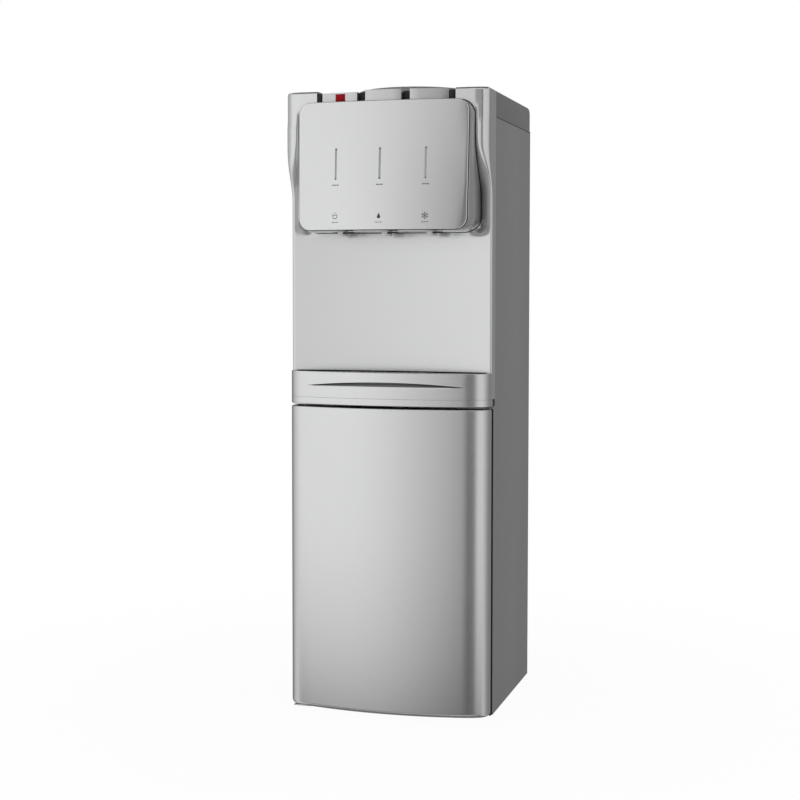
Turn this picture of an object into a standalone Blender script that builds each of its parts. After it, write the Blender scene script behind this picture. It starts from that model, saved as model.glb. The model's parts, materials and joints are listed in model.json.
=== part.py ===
"""A free-standing bottled water dispenser as separate pieces, in metres, +Z up and facing -Y.

Sizes count from the body's own datum: X from the middle, Y from the front edges of the side
panels, Z from the underside of the base. The last step moves every piece so that the whole
stands on the floor with its bounding box centred.
"""
import math

import bmesh
import bpy
from mathutils import Vector

for old in list(bpy.data.objects):
    bpy.data.objects.remove(old, do_unlink=True)

# Body
WIDTH = 0.310
DEPTH = 0.255
HEIGHT = 0.922
FOOT_HEIGHT = 0.008
SHEET = 0.0012
GAP = 0.0003
SEAM = 0.0006

# Bowed front shared by door, cross bar and drip tray
FRONT_REACH = 0.0496
FRONT_BOW = 0.015
FRONT_CORNER = 0.0235
FRONT_REAR = 0.007
CORNER_SHARE = 0.58

# Levels of the front, counted from the tray's rim and, for the head, from the height
DOOR_BOTTOM = 0.0015
TRAY_SHARE = 0.55152
TRAY_TALL = 0.0385
BAR_TALL = 0.010
DOOR_SEAM = 0.004
COVER_TALL = 0.039

# Front frame
STRIP_SEAM = 0.008
SPLASH_REACH = 0.0115
SPLASH_HOLLOW = 0.009
EAR_REACH = 0.038
EAR_TALL = 0.080
EAR_SWEEP = 0.080
EAR_CORNER = 0.012
STRIP_CORNER = 0.005
TOP_ROUND = 0.005
FRAME_WALL = 0.003

# Control head
EAR_STRIP = 0.0205
BOX_TALL = 0.1915
BOX_DROP = 0.018
BOX_CORNER = 0.022
BOX_WALL = 0.0025
BOX_TAPER = 0.005
PLATE_THICK = 0.0025
PLATE_EDGE_TOP = 0.0492
PLATE_EDGE_BOTTOM = 0.0556
PLATE_BOW_TOP = 0.0095
PLATE_BOW_BOTTOM = 0.0175
TAP_Y = -0.030

# Keys
BAY_MARGIN = 0.0495
BAY_DEEP = 0.0145
BAY_REAR = 0.026
KEY_DROP = 0.0015
HOT_KEY_DROP = 0.004
BAY_WALL = 0.0015
KEY_BARREL = 0.0025
KEY_SIDE_GAP = 0.0093
KEY_SHARE = 0.3791
KEY_APART = 0.0127
KEY_TALL = 0.020
TAP_SHARE = 0.6446
KEY_REACH = 0.050
KEY_BOW = 0.010
KEY_PLATE = 0.003
ROD_Y = -0.026
ROD_RADIUS = 0.003

# Bottle seat and tanks
BOTTLE_SETBACK = 0.0105
COLLAR_RADIUS = 0.093
COLLAR_RISE = 0.014
FUNNEL_HOLE = 0.0855
FUNNEL_THROAT = 0.034
FUNNEL_WALL = 0.0025
FUNNEL_DEEP = 0.102
COLD_MARGIN = 0.0625
COLD_DROP = 0.084
HOT_SETBACK = 0.0225
HOT_RADIUS = 0.045
HOT_HEIGHT = 0.090
SHELF_RISE = 0.0675
HOSE_RADIUS = 0.005
HOSE_BORE = 0.0035

# Door hinge and cabinet
HINGE_INSET = 0.011
HINGE_Y = -0.013
PIN_RADIUS = 0.002
DOOR_WALL = 0.0025
DOOR_END = 0.008
FRONT_RETURN = 0.012
REAR_RETURN = 0.015
PAN_LIP = 0.015
CABINET_WALL = 0.002
CABINET_SIDE = 0.019
CABINET_FLOOR = 0.020
CABINET_STEP = 0.215
CABINET_DROP = 0.010
COMPRESSOR_BAY = 0.130
CABINET_REAR = 0.020

# Rear
BACK_DROP = 0.180
RAIL_DEPTH = 0.008
COIL_RADIUS = 0.0025
COIL_DROP = 0.083
COIL_DEEP = 0.110
COIL_MARGIN = 0.035
COIL_DRAIN_MARGIN = 0.060
DRAIN_INSET = 0.037
DRAIN_LEVEL = 0.022
DRAIN_RADIUS = 0.007
DRAIN_REACH = 0.013
CAP_WALL = 0.002

HALF = WIDTH / 2
TRAY_TOP = HEIGHT * TRAY_SHARE
BAR_TOP = TRAY_TOP - TRAY_TALL
BAR_BOTTOM = BAR_TOP - BAR_TALL
DOOR_TOP = BAR_BOTTOM - DOOR_SEAM
SHELF_LEVEL = TRAY_TOP + SHELF_RISE
CABINET_TOP = DOOR_TOP - CABINET_DROP
BACK_BOTTOM = BAR_TOP - BACK_DROP
COIL_BOTTOM = BAR_TOP - COIL_DEEP
HINGE_X = HINGE_INSET - HALF
COVER_BOTTOM = HEIGHT - COVER_TALL
EAR_BROW = HEIGHT - EAR_TALL
EAR_FOOT = EAR_BROW - EAR_SWEEP
BOX_HALF = HALF - EAR_STRIP
BOX_TOP = HEIGHT - BOX_DROP
BOX_BOTTOM = BOX_TOP - BOX_TALL
BAY_HALF = HALF - BAY_MARGIN
BAY_FLOOR = BOX_TOP - BAY_DEEP
KEY_TOP = HEIGHT - KEY_DROP
HOT_KEY_TOP = HEIGHT - HOT_KEY_DROP
KEY_OUTER = BAY_HALF - KEY_SIDE_GAP
KEY_INNER = BAY_HALF * KEY_SHARE
KEY_MIDDLE_HALF = KEY_INNER - KEY_APART
TAP_PITCH = BAY_HALF * TAP_SHARE
BOTTLE_Y = DEPTH / 2 + BOTTLE_SETBACK
COLLAR_TOP = HEIGHT + COLLAR_RISE
FUNNEL_END = HEIGHT - FUNNEL_DEEP
COLD_RADIUS = DEPTH / 2 - COLD_MARGIN
COLD_TOP = HEIGHT - COLD_DROP
HOT_Y = DEPTH / 2 + HOT_SETBACK
CABINET_HALF = HALF - CABINET_SIDE
CABINET_LOW_DEPTH = DEPTH - COMPRESSOR_BAY
CABINET_DEPTH = DEPTH - CABINET_REAR
COIL_TOP = COVER_BOTTOM - COIL_DROP
COIL_LEFT = HALF - COIL_MARGIN
COIL_RIGHT = HALF - COIL_DRAIN_MARGIN
DRAIN_X = HALF - DRAIN_INSET
DRAIN_Z = BAR_TOP + DRAIN_LEVEL
BACK_OUTER = DEPTH - SHEET - GAP
BACK_INNER = BACK_OUTER - SHEET
DECK_TOP = BAR_TOP - GAP
KEY_HINGE_Y = BAY_REAR - BAY_WALL - KEY_BARREL - 2 * GAP
COIL_Y = BACK_OUTER + GAP + RAIL_DEPTH + GAP + COIL_RADIUS
PLATE_BOTTOM = BOX_BOTTOM + BOX_TAPER + GAP
PLATE_LEAN = (BOX_TOP - PLATE_BOTTOM) / (BOX_TOP - BOX_BOTTOM)
PLATE_EDGE_GAIN = PLATE_EDGE_BOTTOM - PLATE_EDGE_TOP
PLATE_BOW_GAIN = PLATE_BOW_BOTTOM - PLATE_BOW_TOP
FRONT_MOST = PLATE_EDGE_TOP + PLATE_BOW_TOP + (PLATE_EDGE_GAIN + PLATE_BOW_GAIN) * PLATE_LEAN
REAR_MOST = BACK_OUTER + DRAIN_REACH + GAP + CAP_WALL
DATUM = Vector((0, (FRONT_MOST - REAR_MOST) / 2, FOOT_HEIGHT))
SMOOTH_ANGLE = math.radians(32)

# Colours with roughness and metal share, as the photo shows them or as such pieces usually are
SILVER = ((0.62, 0.62, 0.63), 0.34, 0.55)
SILVER_SIDE = ((0.30, 0.30, 0.31), 0.42, 0.30)
SILVER_HEAD = ((0.64, 0.64, 0.65), 0.32, 0.55)
BLACK_PLASTIC = ((0.012, 0.012, 0.013), 0.45, 0.0)
BLACK_PAINT = ((0.02, 0.02, 0.022), 0.40, 0.0)
GREY_PLASTIC = ((0.45, 0.45, 0.46), 0.45, 0.0)
LIGHT_PLASTIC = ((0.74, 0.74, 0.74), 0.40, 0.0)
WHITE_LINER = ((0.80, 0.80, 0.79), 0.38, 0.0)
ZINC = ((0.55, 0.56, 0.57), 0.38, 0.9)
STAINLESS = ((0.60, 0.60, 0.60), 0.26, 1.0)
COPPER = ((0.72, 0.38, 0.24), 0.30, 1.0)
FOAM = ((0.86, 0.84, 0.78), 0.90, 0.0)
HOSE_CLEAR = ((0.78, 0.80, 0.80), 0.35, 0.0)
HOSE_RED = ((0.62, 0.16, 0.10), 0.50, 0.0)
RUBBER = ((0.03, 0.03, 0.03), 0.80, 0.0)
RED = ((0.23, 0.004, 0.006), 0.35, 0.0)
SMOKED = ((0.05, 0.05, 0.055), 0.15, 0.0)
GREEN_LAMP = ((0.05, 0.35, 0.12), 0.30, 0.0)


# Building tools

def close(bm):
    """Give a closed solid outward faces."""
    bmesh.ops.recalc_face_normals(bm, faces=bm.faces)
    return bm


def loft(rings):
    """Solid through a row of closed sections with equal numbers of points."""
    bm = bmesh.new()
    rows = [[bm.verts.new(point) for point in ring] for ring in rings]
    count = len(rows[0])
    for low, high in zip(rows, rows[1:]):
        for here in range(count):
            there = (here + 1) % count
            bm.faces.new((low[here], low[there], high[there], high[here]))
    bm.faces.new(rows[0][::-1])
    bm.faces.new(rows[-1])
    return close(bm)


def prism(outline, axis, start, end):
    """Solid with one section between two planes across the axis."""
    places = {
        "x": lambda u, v, w: (w, u, v),
        "y": lambda u, v, w: (u, w, v),
        "z": lambda u, v, w: (u, v, w),
    }
    place = places[axis]
    return loft([[place(u, v, w) for u, v in outline] for w in (start, end)])


def block(x0, x1, y0, y1, z0, z1):
    """Box between the given planes."""
    return prism([(x0, y0), (x1, y0), (x1, y1), (x0, y1)], "z", z0, z1)


def turned(profile, centre, axis="z", steps=24, ring=False):
    """Solid of revolution; the profile holds radius and height, and a ring's profile closes on itself."""
    bm = bmesh.new()
    rows = []
    for radius, height in profile:
        row = []
        for step in range(steps if radius > 0 else 1):
            turn = 2 * math.pi * step / steps
            across, along = radius * math.cos(turn), radius * math.sin(turn)
            local = {
                "x": (height, across, along),
                "y": (across, height, along),
                "z": (across, along, height),
            }[axis]
            row.append(bm.verts.new(Vector(local) + Vector(centre)))
        rows.append(row)
    pairs = list(zip(rows, rows[1:]))
    if ring:
        pairs.append((rows[-1], rows[0]))
    for low, high in pairs:
        for step in range(steps):
            after = (step + 1) % steps
            corners = [low[step % len(low)], low[after % len(low)],
                       high[after % len(high)], high[step % len(high)]]
            bm.faces.new(list(dict.fromkeys(corners)))
    return close(bm)


def rounded(points, radius, steps, closed):
    """The points with each corner turned into an arc; an open path keeps its ends."""
    points = [Vector(point) for point in points]
    count = len(points)
    result = []
    for index, corner in enumerate(points):
        if not closed and index in (0, count - 1):
            result.append(corner)
            continue
        to_last = (points[index - 1] - corner).normalized()
        to_next = (points[(index + 1) % count] - corner).normalized()
        opening = to_last.angle(to_next)
        centre = corner + (to_last + to_next).normalized() * radius / math.sin(opening / 2)
        start = corner + to_last * radius / math.tan(opening / 2) - centre
        end = corner + to_next * radius / math.tan(opening / 2) - centre
        sweep = math.pi - opening
        for step in range(steps + 1):
            share = step / steps
            spoke = start * math.sin((1 - share) * sweep) + end * math.sin(share * sweep)
            result.append(centre + spoke / math.sin(sweep))
    return result


def swept(path, radii, sides):
    """Round bar along a path, or a hose where two radii are given, with square-cut ends."""
    path = [Vector(point) for point in path]
    tangents = []
    for index in range(len(path)):
        before = path[max(index - 1, 0)]
        after = path[min(index + 1, len(path) - 1)]
        tangents.append((after - before).normalized())
    side = tangents[0].orthogonal().normalized()
    bm = bmesh.new()
    walls = [[] for _ in radii]
    for point, tangent in zip(path, tangents):
        side = (side - tangent * side.dot(tangent)).normalized()
        up = tangent.cross(side)
        for wall, radius in zip(walls, radii):
            turns = [2 * math.pi * step / sides for step in range(sides)]
            wall.append([bm.verts.new(point + (side * math.cos(turn) + up * math.sin(turn)) * radius)
                         for turn in turns])
    for wall in walls:
        for low, high in zip(wall, wall[1:]):
            for step in range(sides):
                after = (step + 1) % sides
                bm.faces.new((low[step], low[after], high[after], high[step]))
    for end in (0, -1):
        if len(walls) == 1:
            bm.faces.new(walls[0][end])
            continue
        outer, inner = walls[0][end], walls[1][end]
        for step in range(sides):
            after = (step + 1) % sides
            bm.faces.new((outer[step], outer[after], inner[after], inner[step]))
    return close(bm)


def combine(first, second, operation):
    """Join, cut or intersect two solids; both are used up."""
    pieces = []
    for solid in (first, second):
        mesh = bpy.data.meshes.new("working")
        solid.to_mesh(mesh)
        solid.free()
        piece = bpy.data.objects.new("working", mesh)
        bpy.context.scene.collection.objects.link(piece)
        pieces.append(piece)
    step = pieces[0].modifiers.new("step", "BOOLEAN")
    step.operation = operation
    step.solver = "EXACT"
    step.object = pieces[1]
    bpy.context.view_layer.update()
    graph = bpy.context.evaluated_depsgraph_get()
    made = bpy.data.meshes.new_from_object(pieces[0].evaluated_get(graph))
    result = bmesh.new()
    result.from_mesh(made)
    for piece in pieces:
        mesh = piece.data
        bpy.data.objects.remove(piece, do_unlink=True)
        bpy.data.meshes.remove(mesh)
    bpy.data.meshes.remove(made)
    return result


def join(first, *others):
    """Union of solids."""
    for other in others:
        first = combine(first, other, "UNION")
    return first


def cut(first, *others):
    """First solid less the others."""
    for other in others:
        first = combine(first, other, "DIFFERENCE")
    return first


def common(first, second):
    """Space that two solids share."""
    return combine(first, second, "INTERSECT")


def finish(name, solid, look, pivot=(0, 0, 0)):
    """Turn a solid into the named piece with its own material, its origin on the pivot."""
    bmesh.ops.remove_doubles(solid, verts=solid.verts, dist=GAP / 100)
    bmesh.ops.translate(solid, verts=solid.verts, vec=-Vector(pivot))
    mesh = bpy.data.meshes.new(name)
    solid.to_mesh(mesh)
    solid.free()
    for face in mesh.polygons:
        face.use_smooth = True
    mesh.set_sharp_from_angle(angle=SMOOTH_ANGLE)
    colour, roughness, metallic = look
    material = bpy.data.materials.new(name)
    material.use_nodes = True
    shader = material.node_tree.nodes["Principled BSDF"]
    shader.inputs["Base Color"].default_value = (*colour, 1)
    shader.inputs["Roughness"].default_value = roughness
    shader.inputs["Metallic"].default_value = metallic
    mesh.materials.append(material)
    piece = bpy.data.objects.new(name, mesh)
    piece.location = Vector(pivot) + DATUM
    bpy.context.scene.collection.objects.link(piece)


# Shared shapes

def front_outline(inset=0.0, rear=FRONT_REAR):
    """Plan of the bowed front from left to right, moved inward, its ends at the rear reach."""
    bow_steps = 12
    corner_steps = 6
    shoulder = HALF - FRONT_CORNER
    edge = FRONT_REACH - FRONT_BOW
    slope = 2 * FRONT_BOW / shoulder
    right = []
    for step in range(bow_steps // 2 + 1):
        x = shoulder * step / (bow_steps // 2)
        right.append(Vector((x, FRONT_BOW * (x / shoulder) ** 2 - FRONT_REACH)))
    start, end = right.pop(), Vector((HALF, -FRONT_REAR))
    ahead = start + Vector((1, slope)) * FRONT_CORNER * CORNER_SHARE
    behind = end - Vector((0, edge - FRONT_REAR)) * CORNER_SHARE
    for step in range(corner_steps + 1):
        t = step / corner_steps
        right.append(start * (1 - t) ** 3 + ahead * 3 * t * (1 - t) ** 2
                     + behind * 3 * t * t * (1 - t) + end * t ** 3)
    moved = []
    for index, point in enumerate(right):
        before = right[index - 1] if index else Vector((-right[1].x, right[1].y))
        along = (right[min(index + 1, len(right) - 1)] - before).normalized()
        if index == len(right) - 1:
            along = Vector((0, 1))
        moved.append(point + Vector((-along.y, along.x)) * inset)
    kept = [point for point in moved if point.y < -rear]
    if len(kept) < len(moved):
        last, first_out = kept[-1], moved[len(kept)]
        share = (-rear - last.y) / (first_out.y - last.y)
        kept.append(last.lerp(first_out, share))
    elif rear < FRONT_REAR:
        kept.append(Vector((HALF - inset, -rear)))
    return [(-point.x, point.y) for point in kept[:0:-1]] + [(point.x, point.y) for point in kept]


def front_y(x):
    """Where the bowed front stands at a place between its corners."""
    return FRONT_BOW * (x / (HALF - FRONT_CORNER)) ** 2 - FRONT_REACH


def splash_y(x):
    """Where the hollowed splash wall stands at its foot."""
    return SPLASH_HOLLOW * (1 - (x / (HALF - STRIP_CORNER)) ** 2) - SPLASH_REACH


def rounded_rect(half_top, half_bottom, low, high, radius, steps=5):
    """Upright rectangle in X and Z with round corners, its sides drawn in toward the bottom."""
    corners = [(-half_bottom, low), (half_bottom, low), (half_top, high), (-half_top, high)]
    return [(point.x, point.y) for point in rounded(corners, radius, steps, True)]


def bowed_solid(inset):
    """All that lies behind the control plate's face, moved back by the inset."""
    steps = 16
    margin = 0.010
    rear = 0.030
    rings = []
    for z in (BOX_BOTTOM - margin, HEIGHT + margin):
        lean = (BOX_TOP - z) / (BOX_TOP - BOX_BOTTOM)
        edge = PLATE_EDGE_TOP + PLATE_EDGE_GAIN * lean
        bow = PLATE_BOW_TOP + PLATE_BOW_GAIN * lean
        ring = []
        for step in range(steps + 1):
            x = BOX_HALF * (2 * step / steps - 1)
            ring.append((x, inset - edge - bow * (1 - (x / BOX_HALF) ** 2), z))
        rings.append(ring + [(BOX_HALF, rear, z), (-BOX_HALF, rear, z)])
    return loft(rings)


def rod(x, y, z0, z1, radius, steps=12):
    """Upright cylinder."""
    return turned([(0, z0), (radius, z0), (radius, z1), (0, z1)], (x, y, 0), steps=steps)


def key_bay_space():
    """Room that the key bay takes out of the pieces around it."""
    return block(-BAY_HALF, BAY_HALF, -DEPTH, BAY_REAR, BAY_FLOOR, HEIGHT + COLLAR_TOP)


# Base and covers

FOOT_INSET = 0.035
FOOT_STUD = 0.004
FOOT_PLACES = {
    "foot_front_left": (-(HALF - FOOT_INSET), FOOT_INSET),
    "foot_front_right": (HALF - FOOT_INSET, FOOT_INSET),
    "foot_rear_left": (-(HALF - FOOT_INSET), DEPTH - FOOT_INSET),
    "foot_rear_right": (HALF - FOOT_INSET, DEPTH - FOOT_INSET),
}


def base_plate():
    side = HALF - SHEET - GAP
    front = SHEET + GAP
    solid = block(-side, side, front, BACK_OUTER, 0, PAN_LIP)
    solid = cut(solid, block(-side + SHEET, side - SHEET, front + SHEET, BACK_OUTER - SHEET, SHEET, HEIGHT))
    for x, y in FOOT_PLACES.values():
        solid = cut(solid, rod(x, y, -SHEET, PAN_LIP, FOOT_STUD + GAP))
    finish("base_plate", solid, ZINC)


def feet():
    radius = 0.014
    round_off = 0.001
    neck = 0.012
    stud_top = 0.010
    profile = [(0, -FOOT_HEIGHT), (radius - round_off, -FOOT_HEIGHT), (radius, round_off - FOOT_HEIGHT),
               (neck, -GAP), (FOOT_STUD, -GAP), (FOOT_STUD, stud_top), (0, stud_top)]
    for name, (x, y) in FOOT_PLACES.items():
        finish(name, turned(profile, (x, y, 0), steps=16), RUBBER)


def side_panels():
    for name, sign in (("side_panel_left", -1), ("side_panel_right", 1)):
        outline = [(HALF - FRONT_RETURN, 0), (HALF, 0), (HALF, DEPTH), (HALF - REAR_RETURN, DEPTH),
                   (HALF - REAR_RETURN, DEPTH - SHEET), (HALF - SHEET, DEPTH - SHEET),
                   (HALF - SHEET, SHEET), (HALF - FRONT_RETURN, SHEET)]
        solid = prism([(sign * x, y) for x, y in outline], "z", 0, COVER_BOTTOM - SEAM)
        above_bar = block(-WIDTH, WIDTH, -DEPTH, STRIP_SEAM, BAR_BOTTOM - GAP, HEIGHT)
        finish(name, cut(solid, above_bar), SILVER_SIDE)


def back_panel():
    side = HALF - SHEET - GAP
    solid = block(-side, side, BACK_INNER, BACK_OUTER, BACK_BOTTOM, COVER_BOTTOM - SEAM)
    hole = turned([(0, 0), (DRAIN_RADIUS + GAP, 0), (DRAIN_RADIUS + GAP, DEPTH), (0, DEPTH)],
                  (DRAIN_X, DEPTH / 2, DRAIN_Z), "y", 16)
    finish("back_panel", cut(solid, hole), ZINC)


def cross_bar():
    wall = 0.0025
    rear = GAP - STRIP_SEAM
    solid = prism(front_outline(rear=rear), "z", BAR_BOTTOM, BAR_TOP)
    room = prism(front_outline(wall, rear + wall), "z", BAR_BOTTOM + wall, HEIGHT)
    finish("cross_bar", cut(solid, room), SILVER)


def frame_section(z, inset, rear=STRIP_SEAM - GAP):
    """Plan section of the front frame at a level, drawn in on all sides but the rear."""
    bow_steps = 12
    corner_steps = 4
    lift = min(max((z - EAR_FOOT) / (EAR_BROW - EAR_FOOT), 0), 1)
    ease = lift * lift * (3 - 2 * lift)
    reach = SPLASH_REACH + (EAR_REACH - SPLASH_REACH) * ease - inset
    hollow = SPLASH_HOLLOW * (1 - ease)
    corner = max(STRIP_CORNER + (EAR_CORNER - STRIP_CORNER) * ease ** 3 - inset, GAP)
    half = HALF - inset
    straight = half - corner
    right = []
    for step in range(bow_steps // 2 + 1):
        x = straight * step / (bow_steps // 2)
        right.append((x, hollow * (1 - (x / straight) ** 2) - reach))
    for step in range(1, corner_steps + 1):
        turn = math.pi / 2 * step / corner_steps
        right.append((straight + corner * math.sin(turn), corner * (1 - math.cos(turn)) - reach))
    right.append((half, rear))
    points = [(-x, y) for x, y in right[:0:-1]] + right
    return [(x, y, z) for x, y in points]


def front_frame():
    bottom = BAR_TOP + GAP
    ear_rows = 8
    levels = [bottom, EAR_FOOT]
    levels += [EAR_FOOT + (EAR_BROW - EAR_FOOT) * row / ear_rows for row in range(1, ear_rows + 1)]
    outer = [frame_section(z, 0) for z in levels]
    round_rows = 4
    for row in range(round_rows + 1):
        turn = math.pi / 2 * row / round_rows
        level = HEIGHT - TOP_ROUND * (1 - math.sin(turn))
        outer.append(frame_section(level, TOP_ROUND * (1 - math.cos(turn))))
    inner = [frame_section(z, FRAME_WALL, STRIP_SEAM) for z in levels]
    inner[0] = [(x, y, z - FRAME_WALL) for x, y, z in inner[0]]
    inner.append(frame_section(HEIGHT - FRAME_WALL, FRAME_WALL, STRIP_SEAM))
    solid = cut(loft(outer), loft(inner))
    strip = 0.0075
    lip = 0.0008
    slot = block(strip - HALF, HALF - strip, -DEPTH, DEPTH, 0, TRAY_TOP + lip)
    half = BOX_HALF + GAP
    opening = prism(rounded_rect(half, half, BOX_BOTTOM - GAP, BOX_TOP + GAP, BOX_CORNER + GAP),
                    "y", -DEPTH, DEPTH)
    finish("front_frame", cut(solid, slot, opening, key_bay_space()), SILVER_HEAD)


def top_cover():
    wall = 0.0025
    front = STRIP_SEAM + GAP
    rear_round = 0.012
    round_rows = 4
    arc_steps = 5
    turns = [math.pi / 2 * row / round_rows for row in range(round_rows + 1)]
    right = [(HALF - TOP_ROUND * (1 - math.sin(turn)), TOP_ROUND * (1 - math.cos(turn))) for turn in turns]
    rings = []
    for x, inset in [(-x, inset) for x, inset in right[::-1]] + right:
        ring = [(x, front, COVER_BOTTOM), (x, front, HEIGHT - inset)]
        for step in range(arc_steps + 1):
            turn = math.pi / 2 * step / arc_steps
            reach = rear_round - inset
            ring.append((x, DEPTH - rear_round + reach * math.sin(turn),
                         HEIGHT - rear_round + reach * math.cos(turn)))
        ring.append((x, DEPTH - inset, COVER_BOTTOM))
        rings.append(ring)
    solid = loft(rings)
    room = block(wall - HALF, HALF - wall, -DEPTH, DEPTH - wall - rear_round / 4, 0, HEIGHT - wall)
    hole = rod(0, BOTTLE_Y, COVER_BOTTOM, HEIGHT + COLLAR_TOP, FUNNEL_HOLE + GAP, 40)
    finish("top_cover", cut(solid, room, hole, key_bay_space()), SILVER_SIDE)


# Bottle seat and water path

def bottle_collar():
    rim = 0.0015
    seat = 0.0825
    cone_top = HEIGHT - GAP
    cone_deep = 0.0335
    cone_foot = HEIGHT - cone_deep
    slant = 0.0025
    throat = FUNNEL_THROAT + FUNNEL_WALL
    profile = [(throat, FUNNEL_END), (throat, cone_foot - GAP), (FUNNEL_HOLE - slant / 5, HEIGHT - slant),
               (FUNNEL_HOLE - slant / 5, HEIGHT + GAP), (COLLAR_RADIUS, HEIGHT + GAP),
               (COLLAR_RADIUS, COLLAR_TOP - rim), (COLLAR_RADIUS - rim, COLLAR_TOP),
               (seat + rim, COLLAR_TOP), (seat, COLLAR_TOP - rim), (seat, cone_top),
               (FUNNEL_THROAT, cone_foot), (FUNNEL_THROAT, FUNNEL_END)]
    finish("bottle_collar", turned(profile, (0, BOTTLE_Y, 0), steps=36, ring=True), GREY_PLASTIC)


def bottle_probe():
    bore = 0.0045
    stem = 0.008
    tip = 0.0055
    tip_drop = 0.022
    tip_height = HEIGHT - tip_drop
    taper = 0.012
    disc = 0.003
    foot = FUNNEL_END + disc
    profile = [(bore, foot), (FUNNEL_THROAT - GAP, foot), (FUNNEL_THROAT - GAP, foot + disc),
               (stem, foot + disc), (stem, tip_height - taper), (tip, tip_height), (bore, tip_height)]
    finish("bottle_probe", turned(profile, (0, BOTTLE_Y, 0), steps=20, ring=True), LIGHT_PLASTIC)


def cold_tank():
    wall = 0.0015
    bottom = SHELF_LEVEL + SHEET + GAP
    mouth = FUNNEL_THROAT + FUNNEL_WALL + GAP
    profile = [(0, bottom), (COLD_RADIUS, bottom), (COLD_RADIUS, COLD_TOP), (mouth, COLD_TOP),
               (mouth, COLD_TOP - wall), (COLD_RADIUS - wall, COLD_TOP - wall),
               (COLD_RADIUS - wall, bottom + wall), (0, bottom + wall)]
    finish("cold_tank", turned(profile, (0, BOTTLE_Y, 0), steps=36), STAINLESS)


EVAPORATOR_RADIUS = 0.003
EVAPORATOR_SIDES = 16
EVAPORATOR_RUN = (COLD_RADIUS + GAP + EVAPORATOR_RADIUS) / math.cos(math.pi / EVAPORATOR_SIDES)
COLD_HOSE_X = 0.030
COLD_HOSE_RISE = 0.049
NORMAL_HOSE_RISE = 0.089
COLD_HOSE_Z = SHELF_LEVEL + COLD_HOSE_RISE
NORMAL_HOSE_Z = SHELF_LEVEL + NORMAL_HOSE_RISE
EVAPORATOR_RISE = 0.119


def evaporator_coil():
    turns = 4
    margin = 0.023
    start = SHELF_LEVEL + EVAPORATOR_RISE
    pitch = (COLD_TOP - margin - start) / turns
    path = []
    for step in range(turns * EVAPORATOR_SIDES + 1):
        turn = 2 * math.pi * step / EVAPORATOR_SIDES
        path.append((EVAPORATOR_RUN * math.sin(turn), BOTTLE_Y + EVAPORATOR_RUN * math.cos(turn),
                     start + pitch * step / EVAPORATOR_SIDES))
    finish("evaporator_coil", swept(path, [EVAPORATOR_RADIUS], 6), COPPER)


def tank_insulation():
    thick = 0.022
    inner = EVAPORATOR_RUN + EVAPORATOR_RADIUS + GAP
    outer = inner + thick
    bottom = SHELF_LEVEL + SHEET + GAP
    solid = turned([(inner, bottom), (outer, bottom), (outer, COLD_TOP), (inner, COLD_TOP)],
                   (0, BOTTLE_Y, 0), steps=32, ring=True)
    clear = HOSE_RADIUS + GAP
    for x, z in ((COLD_HOSE_X, COLD_HOSE_Z), (0, NORMAL_HOSE_Z)):
        solid = cut(solid, turned([(0, 0), (clear, 0), (clear, BOTTLE_Y), (0, BOTTLE_Y)], (x, 0, z), "y", 10))
    finish("tank_insulation", solid, FOAM)


def hot_tank():
    wall = 0.0015
    bottom = DECK_TOP + GAP
    top = bottom + HOT_HEIGHT
    port = HOSE_BORE
    profile = [(0, bottom), (HOT_RADIUS, bottom), (HOT_RADIUS, top), (port, top), (port, top - wall),
               (HOT_RADIUS - wall, top - wall), (HOT_RADIUS - wall, bottom + wall), (0, bottom + wall)]
    finish("hot_tank", turned(profile, (0, HOT_Y, 0), steps=28), STAINLESS)


def heater_band():
    thick = 0.003
    height = 0.030
    rise = 0.030
    bottom = DECK_TOP + rise
    inner = HOT_RADIUS + GAP
    box = 0.012
    solid = turned([(inner, bottom), (inner + thick, bottom), (inner + thick, bottom + height),
                    (inner, bottom + height)], (0, HOT_Y, 0), steps=28, ring=True)
    clamp = block(-box, box, HOT_Y + inner + thick / 2, HOT_Y + inner + box, bottom, bottom + height)
    finish("heater_band", join(solid, clamp), ZINC)


def feed_pipe():
    bottom = DECK_TOP + GAP + HOT_HEIGHT + GAP
    top = SHELF_LEVEL + SHEET
    profile = [(HOSE_BORE, bottom), (HOSE_RADIUS, bottom), (HOSE_RADIUS, top), (HOSE_BORE, top)]
    finish("feed_pipe", turned(profile, (0, HOT_Y, 0), steps=12, ring=True), COPPER)


def hoses():
    start = TAP_BACK + GAP
    rise = 0.0245
    level = BOX_BOTTOM + rise
    behind = 0.018
    bend = 0.012
    bend_steps = 3
    cold_end = BOTTLE_Y - math.sqrt(COLD_RADIUS ** 2 - (COLD_HOSE_X - HOSE_RADIUS) ** 2) - 2 * GAP
    normal_end = BOTTLE_Y - COLD_RADIUS - GAP
    hot_x = -0.015
    hot_rise = 0.075
    hot_level = DECK_TOP + hot_rise
    hot_end = HOT_Y - math.sqrt(HOT_RADIUS ** 2 - (hot_x + HOSE_RADIUS) ** 2) - 2 * GAP
    runs = {
        "cold_hose": [(TAP_PITCH, start, level), (TAP_PITCH, behind, level),
                      (COLD_HOSE_X, behind + bend, COLD_HOSE_Z), (COLD_HOSE_X, cold_end, COLD_HOSE_Z)],
        "normal_hose": [(0, start, level), (0, behind, level),
                        (0, behind + bend / 2, NORMAL_HOSE_Z), (0, normal_end, NORMAL_HOSE_Z)],
        "hot_hose": [(-TAP_PITCH, start, level), (-TAP_PITCH, behind, level),
                     (-TAP_PITCH, behind, hot_level + bend), (hot_x, (behind + hot_end) / 2, hot_level),
                     (hot_x, hot_end, hot_level)],
    }
    for name, run in runs.items():
        path = rounded(run, bend, bend_steps, False)
        look = HOSE_RED if name == "hot_hose" else HOSE_CLEAR
        finish(name, swept(path, [HOSE_RADIUS, HOSE_BORE], 8), look)


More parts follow.
